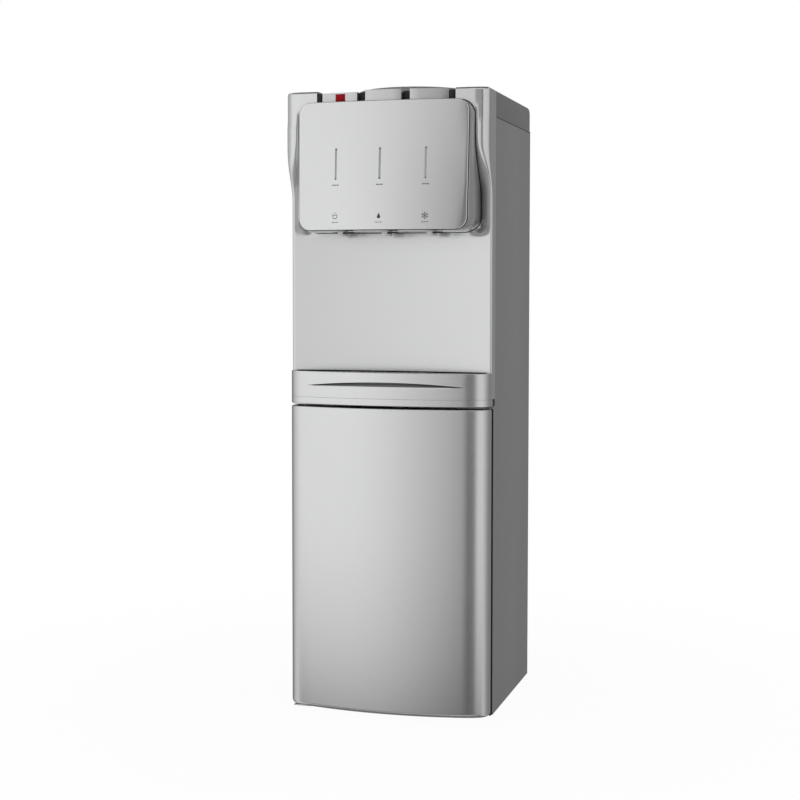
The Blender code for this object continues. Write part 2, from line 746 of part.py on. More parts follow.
def deck(name, top, front, lip):
    """Sheet deck across the body with its sides turned down."""
    side = HALF - SHEET - 2 * GAP
    solid = block(-side, side, front, BACK_INNER - GAP, top - lip, top)
    room = block(-side + SHEET, side - SHEET, -DEPTH, 2 * DEPTH, 0, top - SHEET)
    if name == "tank_shelf":
        room = join(room, rod(0, HOT_Y, top - lip, top + SHEET, HOSE_RADIUS + GAP))
    finish(name, cut(solid, room), ZINC)


def decks():
    lip = 0.012
    shelf_front = 0.030
    deck("mid_deck", DECK_TOP, STRIP_SEAM + GAP, lip)
    deck("tank_shelf", SHELF_LEVEL + SHEET, shelf_front, lip)


# Control head

SLOT_HALF = 0.0015
SLOT_RISE = 0.0774
SLOT_TALL = 0.0458
SLOT_BOTTOM = BOX_BOTTOM + SLOT_RISE
SLOT_TOP = SLOT_BOTTOM + SLOT_TALL
TAP_BACK = -0.012


def control_housing():
    rear = 0.006
    shoulder = -0.034
    rim = -0.050
    stations = [(rear, 0), (shoulder, 0), (rim, BOX_TAPER), (-DEPTH, BOX_TAPER)]
    shells = []
    for wall in (0, BOX_WALL):
        rings = []
        for y, taper in stations:
            half = BOX_HALF - taper - wall
            ring = rounded_rect(half, half, BOX_BOTTOM + taper + wall, BOX_TOP - wall,
                                BOX_CORNER - taper - wall)
            y = y + wall if y == rear else y
            rings.append([(x, y, z) for x, z in ring])
        shells.append(loft(rings))
    solid = cut(shells[0], shells[1])
    solid = common(solid, bowed_solid(PLATE_THICK + GAP))
    slot = 0.0085
    slot_margin = 0.014
    slot_half = TAP_PITCH + slot_margin
    taps_slot = block(-slot_half, slot_half, TAP_Y - slot, TAP_Y + slot, 0, BOX_BOTTOM + BOX_CORNER)
    finish("control_housing", cut(solid, key_bay_space(), taps_slot), SILVER_HEAD)


def control_plate():
    half = BOX_HALF - BOX_TAPER - GAP
    corner = 0.0175
    draw = 0.002
    outline = rounded_rect(half, half - draw, PLATE_BOTTOM, BOX_TOP, corner, 6)
    solid = prism(outline, "y", -DEPTH, 0)
    solid = common(solid, bowed_solid(0))
    solid = cut(solid, bowed_solid(PLATE_THICK))
    for x in (-TAP_PITCH, 0, TAP_PITCH):
        solid = cut(solid, block(x - SLOT_HALF, x + SLOT_HALF, -DEPTH, 0, SLOT_BOTTOM, SLOT_TOP))
    finish("control_plate", solid, SILVER_HEAD)


def indicators():
    depth = 0.006
    for name, x in (("indicator_hot", -TAP_PITCH), ("indicator_normal", 0), ("indicator_cold", TAP_PITCH)):
        bar = block(x - SLOT_HALF + GAP, x + SLOT_HALF - GAP, -DEPTH, 0, SLOT_BOTTOM + GAP, SLOT_TOP - GAP)
        bar = common(bar, bowed_solid(2 * GAP))
        finish(name, cut(bar, bowed_solid(depth)), SMOKED)


def key_bay():
    side = BAY_HALF - GAP
    wall = BAY_WALL
    wall_front = -(EAR_REACH - FRAME_WALL)
    floor = BAY_FLOOR + GAP
    rear = BAY_REAR - GAP
    rim = HEIGHT - FRAME_WALL
    solid = block(-side, side, wall_front, rear, floor, rim)
    solid = cut(solid, block(-side + wall, side - wall, -DEPTH, rear - wall, floor + wall, HEIGHT))
    tongue = common(block(-side, side, -DEPTH, 0, floor, floor + wall), bowed_solid(PLATE_THICK + GAP))
    solid = join(solid, tongue)
    for x in (-TAP_PITCH, 0, TAP_PITCH):
        solid = cut(solid, rod(x, ROD_Y, floor - wall, floor + 2 * wall, ROD_RADIUS + GAP))
    finish("key_bay", solid, BLACK_PLASTIC)


KEY_SPANS = {
    "key_hot": (-KEY_OUTER, -KEY_INNER),
    "key_normal": (-KEY_MIDDLE_HALF, KEY_MIDDLE_HALF),
    "key_cold": (KEY_INNER, KEY_OUTER),
}
LOCK_WIDE = 0.0155
LOCK_OFFSET = 0.0064
LOCK_TALL = 0.0112
LOCK_DROP = 0.002
LOCK_LEFT = -TAP_PITCH - LOCK_OFFSET
LOCK_RIGHT = LOCK_LEFT + LOCK_WIDE
LOCK_HIGH = HOT_KEY_TOP - LOCK_DROP
LOCK_LOW = LOCK_HIGH - LOCK_TALL


def key_front(x):
    """Where the bowed row of key fronts stands."""
    return KEY_BOW * (x / KEY_OUTER) ** 2 - KEY_REACH


def keys():
    barrel = KEY_BARREL
    block_rear = -0.0335
    bottom = KEY_TOP - KEY_TALL
    steps = 4
    for name, (left, right) in KEY_SPANS.items():
        top = HOT_KEY_TOP if name == "key_hot" else KEY_TOP
        places = [left + (right - left) * step / steps for step in range(steps + 1)]
        outline = [(x, key_front(x)) for x in places] + [(right, KEY_HINGE_Y), (left, KEY_HINGE_Y)]
        solid = prism(outline, "z", bottom, top)
        solid = cut(solid, block(left - barrel, right + barrel, block_rear, DEPTH, 0, top - KEY_PLATE))
        axle = turned([(0, left), (barrel, left), (barrel, right), (0, right)],
                      (0, KEY_HINGE_Y, top - barrel), "x", 12)
        solid = join(solid, axle)
        if name == "key_hot":
            solid = cut(solid, block(LOCK_LEFT, LOCK_RIGHT, -DEPTH, 0, LOCK_LOW, LOCK_HIGH))
        finish(name, solid, SILVER_HEAD, (0, KEY_HINGE_Y, top - barrel))


def child_lock():
    rear = -0.0348
    middle = (LOCK_LEFT + LOCK_RIGHT) / 2
    solid = block(LOCK_LEFT + GAP, LOCK_RIGHT - GAP, key_front(middle), rear, LOCK_LOW + GAP, LOCK_HIGH - GAP)
    finish("child_lock", solid, RED, (middle, rear, LOCK_LOW))


TAP_BLOCK_BOTTOM = BOX_BOTTOM + BOX_TAPER + 3 * GAP
TAP_BLOCK_HEIGHT = 0.034
ROD_RISE = 0.025
ROD_BOTTOM = BOX_BOTTOM + ROD_RISE


def valve_rods():
    for name, x, top in (("valve_rod_hot", -TAP_PITCH, HOT_KEY_TOP),
                         ("valve_rod_normal", 0, KEY_TOP), ("valve_rod_cold", TAP_PITCH, KEY_TOP)):
        end = top - KEY_PLATE - GAP
        profile = [(0, ROD_BOTTOM), (ROD_RADIUS, ROD_BOTTOM), (ROD_RADIUS, end - ROD_RADIUS / 3),
                   (ROD_RADIUS / 2, end), (0, end)]
        finish(name, turned(profile, (x, ROD_Y, 0), steps=10), LIGHT_PLASTIC)


def taps():
    half = 0.011
    front = -0.041
    spout = 0.0078
    bore = 0.0045
    tip = 0.0035
    bore_height = 0.016
    rod_room = 0.007
    for name, x in (("tap_hot", -TAP_PITCH), ("tap_normal", 0), ("tap_cold", TAP_PITCH)):
        low, high = TAP_BLOCK_BOTTOM, TAP_BLOCK_BOTTOM + TAP_BLOCK_HEIGHT
        solid = block(x - half, x + half, front, TAP_BACK, low, high)
        solid = join(solid, rod(x, TAP_Y, BOX_BOTTOM - tip, low + half, spout, 16))
        solid = cut(solid, rod(x, TAP_Y, 0, BOX_BOTTOM - tip + bore_height, bore, 12))
        solid = cut(solid, rod(x, ROD_Y, ROD_BOTTOM - rod_room, HEIGHT, ROD_RADIUS + GAP))
        finish(name, solid, LIGHT_PLASTIC)


# Drip tray

TRAY_REAR = 0.060
TRAY_MARGIN = 0.015
TRAY_HALF = HALF - TRAY_MARGIN
TRAY_WALL = 0.0025
FASCIA_WALL = 0.004


def drip_tray():
    fascia_rear = SPLASH_REACH + GAP
    bottom = BAR_TOP + GAP
    rim_drop = 0.004
    rim = TRAY_TOP - rim_drop
    solid = prism(front_outline(rear=fascia_rear), "z", bottom, TRAY_TOP)
    tub = block(-TRAY_HALF, TRAY_HALF, -fascia_rear - TRAY_WALL, TRAY_REAR, bottom, rim)
    inner = front_outline(FASCIA_WALL, fascia_rear + TRAY_WALL)
    side = TRAY_HALF - TRAY_WALL
    neck = inner[-1][1]
    inner += [(side, neck), (side, TRAY_REAR - TRAY_WALL), (-side, TRAY_REAR - TRAY_WALL), (-side, neck)]
    room = prism(inner, "z", bottom + TRAY_WALL, HEIGHT)
    solid = cut(join(solid, tub), room, finger_groove())
    finish("drip_tray", solid, SILVER)


def finger_groove():
    """Crescent cut that fades out downward."""
    margin = 0.033
    half = HALF - margin
    end_drop, middle_drop = 0.017, 0.015
    end_top, middle_top = TRAY_TOP - end_drop, TRAY_TOP - middle_drop
    height = 0.007
    depth = 0.0022
    steps = 12
    least_share = 0.06
    rings = []
    for step in range(steps + 1):
        x = half * (2 * step / steps - 1)
        swell = max(1 - (x / half) ** 2, least_share)
        top = end_top + (middle_top - end_top) * swell
        face = front_y(x)
        rings.append([(x, face - depth, top), (x, face + depth * swell, top),
                      (x, face - GAP, top - height * swell - GAP), (x, face - depth, top - height * swell - GAP)])
    return loft(rings)


def drip_grille():
    rim_drop = 0.001
    top = TRAY_TOP - rim_drop
    thick = 0.0025
    inset = FASCIA_WALL + 2 * GAP
    clear = 0.0008
    steps = 8
    outline = front_outline(inset, SPLASH_REACH + 2 * GAP + TRAY_WALL)
    neck = outline[-1][1]
    limit = TRAY_HALF - TRAY_WALL - GAP
    places = [limit * (1 - 2 * step / steps) for step in range(steps + 1)]
    outline += [(limit, neck)] + [(x, splash_y(x) - clear) for x in places] + [(-limit, neck)]
    solid = prism(outline, "z", top - thick, top)
    leg_half = 0.003
    leg_front, leg_rear = -0.028, -0.013
    leg_margin = 0.018
    leg_x = (TRAY_HALF / 3, TRAY_HALF - leg_margin)
    foot = BAR_TOP + 2 * GAP + TRAY_WALL
    for x in (-leg_x[1], -leg_x[0], leg_x[0], leg_x[1]):
        solid = join(solid, block(x - leg_half, x + leg_half, leg_front, leg_rear, foot, top - thick / 2))
    slots = 11
    pitch = (TRAY_HALF - leg_margin) / (slots + 1)
    slot_half = pitch / 5
    rim = 0.003
    for index in range(-slots, slots + 1):
        x = index * pitch
        if any(abs(abs(x) - place) < leg_half + slot_half + GAP for place in leg_x):
            continue
        solid = cut(solid, block(x - slot_half, x + slot_half, front_y(x) + inset + rim,
                                 splash_y(x) - clear - rim, foot, HEIGHT))
    finish("drip_grille", solid, BLACK_PLASTIC)


# Door and cabinet

PIN_DEPTH = 0.0055


def door_skin():
    bottom_round = 0.0065
    top_round = 0.002
    rows = 4
    rings = []
    for row in range(rows + 1):
        turn = math.pi / 2 * row / rows
        rings.append((DOOR_BOTTOM + bottom_round * (1 - math.cos(turn)), bottom_round * (1 - math.sin(turn))))
    for row in range(rows // 2 + 1):
        turn = math.pi / rows * row
        rings.append((DOOR_TOP - top_round * (1 - math.sin(turn)), top_round * (1 - math.cos(turn))))
    solid = loft([[(x, y, z) for x, y in front_outline(inset)] for z, inset in rings])
    room = prism(front_outline(DOOR_WALL, -DOOR_END), "z", DOOR_BOTTOM + DOOR_END, DOOR_TOP - DOOR_END)
    depth = PIN_DEPTH + GAP
    hole = PIN_RADIUS + GAP
    solid = cut(solid, room, rod(HINGE_X, HINGE_Y, -DOOR_BOTTOM, DOOR_BOTTOM + depth, hole),
                rod(HINGE_X, HINGE_Y, DOOR_TOP - depth, HEIGHT, hole))
    finish("door_skin", solid, SILVER, (HINGE_X, HINGE_Y, DOOR_BOTTOM))


def door_liner():
    wall = 0.002
    side = HALF - DOOR_WALL - GAP
    low, high = DOOR_BOTTOM + DOOR_END + GAP, DOOR_TOP - DOOR_END - GAP
    border = 0.020
    deep = 0.028
    solid = block(-side, side, -FRONT_REAR - wall, -FRONT_REAR, low, high)
    solid = join(solid, block(border - side, side - border, -deep, -FRONT_REAR, low + border, high - border))
    room = block(border + wall - side, side - border - wall, wall - deep, DEPTH,
                 low + border + wall, high - border - wall)
    finish("door_liner", cut(solid, room), WHITE_LINER, (HINGE_X, HINGE_Y, DOOR_BOTTOM))


def door_gasket():
    side_margin = 0.008
    side = HALF - side_margin
    margin = 0.0045
    width = 0.009
    low, high = DOOR_BOTTOM + margin, DOOR_TOP - margin
    rear_gap = 0.001
    front, rear = GAP - FRONT_REAR, -rear_gap
    solid = block(-side, side, front, rear, low, high)
    solid = cut(solid, block(width - side, side - width, -DEPTH, DEPTH, low + width, high - width))
    finish("door_gasket", solid, RUBBER, (HINGE_X, HINGE_Y, DOOR_BOTTOM))


def hinge_brackets():
    thick = 0.0016
    ear, arm, nose = 0.006, 0.022, 0.009
    left, right = HINGE_X - ear, HINGE_X + arm
    front = HINGE_Y - nose
    low_rear = 0.016
    top = -GAP
    plate = block(left, right, front, low_rear, top - thick, top)
    pin = rod(HINGE_X, HINGE_Y, top - thick / 2, DOOR_BOTTOM + PIN_DEPTH, PIN_RADIUS)
    finish("hinge_bracket_bottom", join(plate, pin), ZINC)
    top = BAR_BOTTOM - GAP
    plate = block(left, right, front, -GAP, top - thick, top)
    pin = rod(HINGE_X, HINGE_Y, DOOR_TOP - PIN_DEPTH, top - thick / 2, PIN_RADIUS)
    finish("hinge_bracket_top", join(plate, pin), ZINC)


def cabinet_liner():
    thick = CABINET_WALL
    side = HALF - FRONT_RETURN - GAP
    low = PAN_LIP + 2 * GAP
    high = BAR_BOTTOM - 2 * GAP
    flange = block(-side, side, 0, thick, low, high)
    lines = []
    for wall, front in ((thick, 0), (0, -DEPTH)):
        lines.append([(front, CABINET_FLOOR - wall), (CABINET_LOW_DEPTH + wall, CABINET_FLOOR - wall),
                      (CABINET_LOW_DEPTH + wall, CABINET_STEP - wall), (CABINET_DEPTH + wall, CABINET_STEP - wall),
                      (CABINET_DEPTH + wall, CABINET_TOP + wall), (front, CABINET_TOP + wall)])
    outer = prism(lines[0], "x", -CABINET_HALF - thick, CABINET_HALF + thick)
    inner = prism(lines[1], "x", -CABINET_HALF, CABINET_HALF)
    finish("cabinet_liner", cut(join(flange, outer), inner), WHITE_LINER)


def cabinet_shelf():
    side = CABINET_HALF - GAP
    front = 0.008
    lip = 0.014
    thick = 0.002
    solid = block(-side, side, front, CABINET_LOW_DEPTH - GAP, CABINET_STEP - lip, CABINET_STEP)
    room = block(-side + thick, side - thick, front + thick, DEPTH, 0, CABINET_STEP - thick)
    finish("cabinet_shelf", cut(solid, room), LIGHT_PLASTIC)


# Cooling and rear

def compressor():
    setback = 0.067
    y = DEPTH - setback
    radius = 0.052
    low, belt, top = 0.012, 0.090, 0.178
    dome = 0.030
    stand_half, stand = 0.050, 0.003
    post = 0.007
    post_place = 0.038
    rim = 0.002
    profile = [(0, low), (radius - dome / 2, low), (radius, low + dome / 2), (radius, belt), (radius + rim, belt),
               (radius + rim, belt + 2 * rim), (radius, belt + 2 * rim), (radius, top - dome),
               (radius - dome / 4, top - dome / 2), (radius - dome, top - dome / 8), (0, top)]
    solid = turned(profile, (0, y, 0), steps=24)
    solid = join(solid, block(-stand_half, stand_half, y - stand_half, y + stand_half, low - stand, low + stand / 2))
    for x in (-post_place, post_place):
        for along in (y - post_place, y + post_place):
            solid = join(solid, rod(x, along, SHEET + GAP, low - stand / 2, post, 10))
    finish("compressor", solid, BLACK_PAINT)


def condenser_coil():
    runs = 12
    bend_reach = 0.0133
    bend_steps = 4
    pitch = (COIL_TOP - COIL_BOTTOM) / (runs - 1)
    path = []
    for run in range(runs):
        z = COIL_BOTTOM + pitch * run
        ends = [(-COIL_LEFT, COIL_Y, z), (COIL_RIGHT, COIL_Y, z)]
        if run % 2:
            ends.reverse()
        path.extend(ends)
        if run == runs - 1:
            continue
        side = 1 if ends[1][0] > 0 else -1
        for step in range(1, bend_steps):
            turn = math.pi * step / bend_steps
            path.append((ends[1][0] + side * bend_reach * math.sin(turn), COIL_Y,
                         z + pitch / 2 * (1 - math.cos(turn))))
    finish("condenser_coil", swept(path, [COIL_RADIUS], 6), BLACK_PAINT)


def condenser_rails():
    width = 0.010
    over = 0.012
    for name, x in (("condenser_rail_left", COIL_RIGHT - 2 * width), ("condenser_rail_right", 2 * width - COIL_LEFT)):
        solid = block(x - width / 2, x + width / 2, BACK_OUTER + GAP, BACK_OUTER + GAP + RAIL_DEPTH,
                      COIL_BOTTOM - over, COIL_TOP + over)
        finish(name, solid, BLACK_PAINT)


def drain():
    bend = 0.014
    bend_steps = 4
    bore = 0.0045
    end = BACK_OUTER + DRAIN_REACH
    start = HOT_RADIUS + 2 * GAP
    path = rounded([(start, HOT_Y, DRAIN_Z), (DRAIN_X, HOT_Y, DRAIN_Z), (DRAIN_X, end, DRAIN_Z)],
                   bend, bend_steps, False)
    finish("drain_outlet", swept(path, [DRAIN_RADIUS, bore], 14), LIGHT_PLASTIC)
    inner = DRAIN_RADIUS + GAP
    outer = inner + CAP_WALL
    depth = 0.009
    profile = [(0, end + GAP), (inner, end + GAP), (inner, end - depth), (outer, end - depth),
               (outer, end + GAP + CAP_WALL), (0, end + GAP + CAP_WALL)]
    finish("drain_cap", turned(profile, (DRAIN_X, 0, DRAIN_Z), "y", 18), BLACK_PLASTIC,
           (DRAIN_X, end, DRAIN_Z))


SWITCH_INSET = 0.100
SWITCH_DROP = 0.038
SWITCH_X = HALF - SWITCH_INSET
SWITCH_Z = COVER_BOTTOM - SWITCH_DROP
SWITCH_PITCH = 0.022
SWITCH_DEPTH = 0.0085
ROCKER_HALF = 0.0065
ROCKER_TALL = 0.010


def switches():
    half = 0.028
    tall = 0.017
    front = BACK_OUTER + GAP
    rear = front + SWITCH_DEPTH
    floor = 0.0012
    solid = block(SWITCH_X - half, SWITCH_X + half, front, rear, SWITCH_Z - tall, SWITCH_Z + tall)
    clear = 2 * GAP
    axle_deep = 0.0035
    axis_y = rear - axle_deep
    lean = math.radians(8)
    for name, x in (("rocker_hot", SWITCH_X - SWITCH_PITCH / 2), ("rocker_cold", SWITCH_X + SWITCH_PITCH / 2)):
        room = block(x - ROCKER_HALF - clear, x + ROCKER_HALF + clear, front + floor, rear + floor,
                     SWITCH_Z - ROCKER_TALL - clear, SWITCH_Z + ROCKER_TALL + clear)
        solid = cut(solid, room)
        crown = 0.0032
        waist = 0.0022
        drop = ROCKER_TALL * math.tan(lean)
        tall_end = ROCKER_TALL - clear
        outline = [(axis_y - crown, SWITCH_Z), (axis_y - waist + drop, SWITCH_Z - tall_end),
                   (axis_y + waist + drop, SWITCH_Z - tall_end), (axis_y + crown, SWITCH_Z),
                   (axis_y + crown - GAP, SWITCH_Z + tall_end), (axis_y - waist + GAP, SWITCH_Z + tall_end)]
        rocker = prism(outline, "x", x - ROCKER_HALF, x + ROCKER_HALF)
        finish(name, rocker, RED if name == "rocker_hot" else GREEN_LAMP, (x, axis_y, SWITCH_Z))
    finish("switch_panel", solid, BLACK_PLASTIC)


def power_inlet():
    inset, x_rise = 0.050, 0.028
    x, z = inset - HALF, BACK_BOTTOM + x_rise
    flange, nose, bore = 0.012, 0.008, 0.0038
    flange_thick, reach, depth = 0.003, 0.011, 0.009
    start = BACK_OUTER + GAP
    profile = [(0, start), (flange, start), (flange, start + flange_thick), (nose, start + flange_thick),
               (nose, start + reach), (bore, start + reach), (bore, start + reach - depth),
               (0, start + reach - depth)]
    finish("power_inlet", turned(profile, (x, 0, z), "y", 16), BLACK_PLASTIC)


base_plate()
feet()
side_panels()
back_panel()
cross_bar()
front_frame()
top_cover()
bottle_collar()
bottle_probe()
cold_tank()
evaporator_coil()
tank_insulation()
hot_tank()
heater_band()
feed_pipe()
hoses()
decks()
control_housing()
control_plate()
indicators()
key_bay()
keys()
child_lock()
valve_rods()
taps()
drip_tray()
drip_grille()
door_skin()
door_liner()
door_gasket()
hinge_brackets()
cabinet_liner()
cabinet_shelf()
compressor()
condenser_coil()
condenser_rails()
drain()
switches()
power_inlet()
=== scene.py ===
import json
import math

import bmesh
import bpy
from mathutils import Matrix, Vector

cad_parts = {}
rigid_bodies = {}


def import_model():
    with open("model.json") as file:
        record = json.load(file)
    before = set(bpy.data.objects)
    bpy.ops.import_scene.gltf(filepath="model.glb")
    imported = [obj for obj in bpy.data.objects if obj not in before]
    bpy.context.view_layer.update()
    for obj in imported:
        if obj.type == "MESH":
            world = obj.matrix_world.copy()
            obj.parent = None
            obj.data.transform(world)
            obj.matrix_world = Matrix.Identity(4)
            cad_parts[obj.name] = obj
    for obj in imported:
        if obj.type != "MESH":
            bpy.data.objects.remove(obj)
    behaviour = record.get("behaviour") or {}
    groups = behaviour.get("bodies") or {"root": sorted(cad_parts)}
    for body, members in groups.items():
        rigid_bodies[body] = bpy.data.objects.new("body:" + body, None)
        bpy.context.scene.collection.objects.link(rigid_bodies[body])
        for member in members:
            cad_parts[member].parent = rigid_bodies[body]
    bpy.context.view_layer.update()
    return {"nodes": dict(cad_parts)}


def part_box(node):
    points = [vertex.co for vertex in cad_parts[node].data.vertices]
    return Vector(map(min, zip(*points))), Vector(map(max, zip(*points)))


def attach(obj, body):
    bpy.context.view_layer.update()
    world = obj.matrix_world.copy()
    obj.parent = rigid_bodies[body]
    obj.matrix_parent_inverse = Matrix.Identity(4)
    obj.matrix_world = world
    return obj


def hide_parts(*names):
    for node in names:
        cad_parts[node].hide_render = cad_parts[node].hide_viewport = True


for old in list(bpy.data.objects):
    bpy.data.objects.remove(old, do_unlink=True)
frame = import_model()
scene = bpy.context.scene
scene.view_settings.view_transform = "Standard"


# Camera and studio
# A portrait lens over two metres away, its picture shifted a little. The dispenser stands on a pale
# sweep in plain light, with one soft window to its left. Cards that only gloss sees stand for the
# bright and dark sides of the studio, so that the silver shows its bow.

lens = bpy.data.cameras.new("photo_lens")
lens.lens = 68.86
lens.sensor_width = 36
lens.shift_x, lens.shift_y = -0.03325, -0.0451
camera = bpy.data.objects.new("camera", lens)
camera.location = (0.6573, -2.2840, 0.6465)
camera.rotation_euler = (math.radians(87.017), math.radians(-0.11), math.radians(15.470))
scene.collection.objects.link(camera)
scene.camera = camera


def stand_at(piece, azimuth, distance, height):
    """Put a lamp or a card at an azimuth round the object, counted from its front."""
    turn = math.radians(azimuth)
    piece.location = (distance * math.sin(turn), -distance * math.cos(turn), height)


soft_window = bpy.data.lights.new("window_left", "AREA")
soft_window.shape = "RECTANGLE"
soft_window.size, soft_window.size_y = 2.0, 1.36
soft_window.energy = 14
lamp = bpy.data.objects.new("window_left", soft_window)
stand_at(lamp, -27, 1.8, 0.70)
lamp.rotation_euler = (Vector((0, 0, 0.70)) - lamp.location).to_track_quat("-Z", "Y").to_euler()
scene.collection.objects.link(lamp)


def feed(tree, socket, value):
    """Give a socket a number, or link another socket to it."""
    if isinstance(value, bpy.types.NodeSocket):
        tree.links.new(value, socket)
    else:
        socket.default_value = value


def worked_out(tree, operation, one, other):
    """Result of a sum on two numbers or sockets."""
    node = tree.nodes.new("ShaderNodeMath")
    node.operation = operation
    feed(tree, node.inputs[0], one)
    feed(tree, node.inputs[1], other)
    return node.outputs[0]


card_reach = 1.3
even = ((-card_reach, 1.0), (card_reach, 1.0))


def screen(name, across, up=even, level=1.0):
    """Glowing material of a card, its strength given at places across it and up it, in metres."""
    material = bpy.data.materials.new(name)
    material.use_nodes = True
    tree = material.node_tree
    tree.nodes.clear()
    split = tree.nodes.new("ShaderNodeSeparateXYZ")
    tree.links.new(tree.nodes.new("ShaderNodeTexCoord").outputs["Object"], split.inputs[0])
    strength = level
    for axis, stops in (("X", across), ("Y", up)):
        along = tree.nodes.new("ShaderNodeMapRange")
        along.inputs["From Min"].default_value = -card_reach
        along.inputs["From Max"].default_value = card_reach
        tree.links.new(split.outputs[axis], along.inputs["Value"])
        ramp = tree.nodes.new("ShaderNodeValToRGB")
        tree.links.new(along.outputs[0], ramp.inputs[0])
        marks = ramp.color_ramp.elements
        for index, (spot, value) in enumerate(stops):
            place = (spot + card_reach) / (2 * card_reach)
            mark = marks[index] if index < 2 else marks.new(place)
            mark.position = place
            mark.color = (value, value, value, 1)
        strength = worked_out(tree, "MULTIPLY", ramp.outputs[0], strength)
    shine = tree.nodes.new("ShaderNodeEmission")
    tree.links.new(strength, shine.inputs["Strength"])
    tree.links.new(shine.outputs[0], tree.nodes.new("ShaderNodeOutputMaterial").inputs["Surface"])
    return material


def sheet(name, half_width, half_tall, material):
    """Flat sheet that belongs to the studio, lying at the origin."""
    shape = bmesh.new()
    bmesh.ops.create_grid(shape, x_segments=1, y_segments=1, size=1)
    bmesh.ops.scale(shape, verts=shape.verts, vec=(half_width, half_tall, 1))
    data = bpy.data.meshes.new(name)
    shape.to_mesh(data)
    shape.free()
    data.materials.append(material)
    piece = bpy.data.objects.new(name, data)
    scene.collection.objects.link(piece)
    return piece


def card(name, half_width, half_tall, azimuth, distance, height, material, upright=True):
    """Sheet that only gloss sees, standing round the object or lying above or below it."""
    piece = sheet(name, half_width, half_tall, material)
    stand_at(piece, azimuth, distance, height)
    piece.rotation_euler = (math.radians(90) if upright else 0, 0, math.radians(azimuth))
    piece.visible_camera = False
    piece.visible_diffuse = False
    piece.visible_shadow = False


toward_floor = [(-1.25, 0.06), (-0.95, 0.28), (-0.72, 0.70), (-0.57, 0.84), (-0.30, 1.0)]
graded = screen("graded_screen",
                [(-1.2, 0.97), (-0.24, 0.97), (0.0, 0.89), (0.15, 0.79), (0.31, 0.68), (0.48, 0.57),
                 (0.62, 0.45), (0.74, 0.36), (0.82, 0.08), (0.86, 0.0)], toward_floor, 1.30)
strip = screen("strip_screen", [(-0.3, 1.0), (0.3, 1.0)], toward_floor, 1.05)
right_fade = screen("right_fade", [(-0.75, 0.98), (-0.46, 0.82), (-0.25, 0.69), (-0.04, 0.54),
                                   (0.21, 0.42), (0.51, 0.33), (0.75, 0.30)])
left_fade = screen("left_fade", [(-0.94, 0.10), (-0.25, 0.12), (0.0, 0.32), (0.23, 0.52),
                                 (0.64, 0.84), (0.94, 1.0)])
black_flag = screen("black_flag", even, level=0.03)
dim_grey = screen("dim_grey", even, level=0.20)
mid_grey = screen("mid_grey", even, level=0.31)
card_away, card_middle = 1.2, 0.40
for name, half_width, azimuth, material in (
        ("graded_card", 1.2, -16, graded), ("strip_card", 0.27, 41, strip),
        ("right_card", 0.75, 85, right_fade), ("behind_right", 0.90, 150, mid_grey),
        ("left_card", 0.94, -105, left_fade), ("behind_left", 0.55, -165, dim_grey)):
    card(name, half_width, card_reach, azimuth, card_away, card_middle, material)
card("above", 0.80, 0.50, 0, 0, 1.75, black_flag, upright=False)
card("below", 0.90, 0.90, 0, 0, -0.95, dim_grey, upright=False)


def white_to_the_eye(tree):
    """Mask of the rays that should meet plain white: the camera's, and those of gloss and glass."""
    rays = tree.nodes.new("ShaderNodeLightPath").outputs
    seen = worked_out(tree, "MAXIMUM", rays["Is Camera Ray"], rays["Is Glossy Ray"])
    return worked_out(tree, "MAXIMUM", seen, rays["Is Transmission Ray"])


def either(tree, share, first, second, end):
    """Mix two shaders by a share, into the end node of a tree."""
    pick = tree.nodes.new("ShaderNodeMixShader")
    for socket, value in zip(pick.inputs, (share, first, second)):
        tree.links.new(value, socket)
    tree.links.new(pick.outputs[0], end.inputs["Surface"])


world = bpy.data.worlds.new("studio")
world.use_nodes = True
scene.world = world
sky = world.node_tree
sky.nodes.clear()
room = sky.nodes.new("ShaderNodeBackground")
room.inputs["Color"].default_value = (1, 1, 1, 1)
room.inputs["Strength"].default_value = 0.60
backdrop = sky.nodes.new("ShaderNodeBackground")
backdrop.inputs["Color"].default_value = (1, 1, 1, 1)
either(sky, white_to_the_eye(sky), room.outputs[0], backdrop.outputs[0],
       sky.nodes.new("ShaderNodeOutputWorld"))

pale = bpy.data.materials.new("pale_floor")
pale.use_nodes = True
ground = pale.node_tree
paint = ground.nodes["Principled BSDF"]
paint.inputs["Base Color"].default_value = (0.65, 0.65, 0.65, 1)
paint.inputs["Roughness"].default_value = 0.9
paint.inputs["Specular IOR Level"].default_value = 0.0
glow = ground.nodes.new("ShaderNodeEmission")
away = ground.nodes.new("ShaderNodeVectorMath")
away.operation = "LENGTH"
ground.links.new(ground.nodes.new("ShaderNodeTexCoord").outputs["Object"], away.inputs[0])
fade = ground.nodes.new("ShaderNodeMapRange")
fade.interpolation_type = "SMOOTHSTEP"
fade.inputs["From Min"].default_value = 0.25
fade.inputs["From Max"].default_value = 1.1
fade.inputs["To Min"].default_value = 0.965
fade.inputs["To Max"].default_value = 1.0
ground.links.new(away.outputs["Value"], fade.inputs["Value"])
white_share = worked_out(ground, "MULTIPLY", white_to_the_eye(ground), fade.outputs[0])
either(ground, white_share, paint.outputs[0], glow.outputs[0], ground.nodes["Material Output"])
sheet("floor", 6, 6, pale).visible_glossy = False


# Base pan and feet
# A galvanised steel pan closes the body underneath, folded up along its rim. Four rubber feet
# push into holes near its corners and carry the dispenser.

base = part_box("side_panel_left")[0]
front_plane, ground_level = base.y, base.z


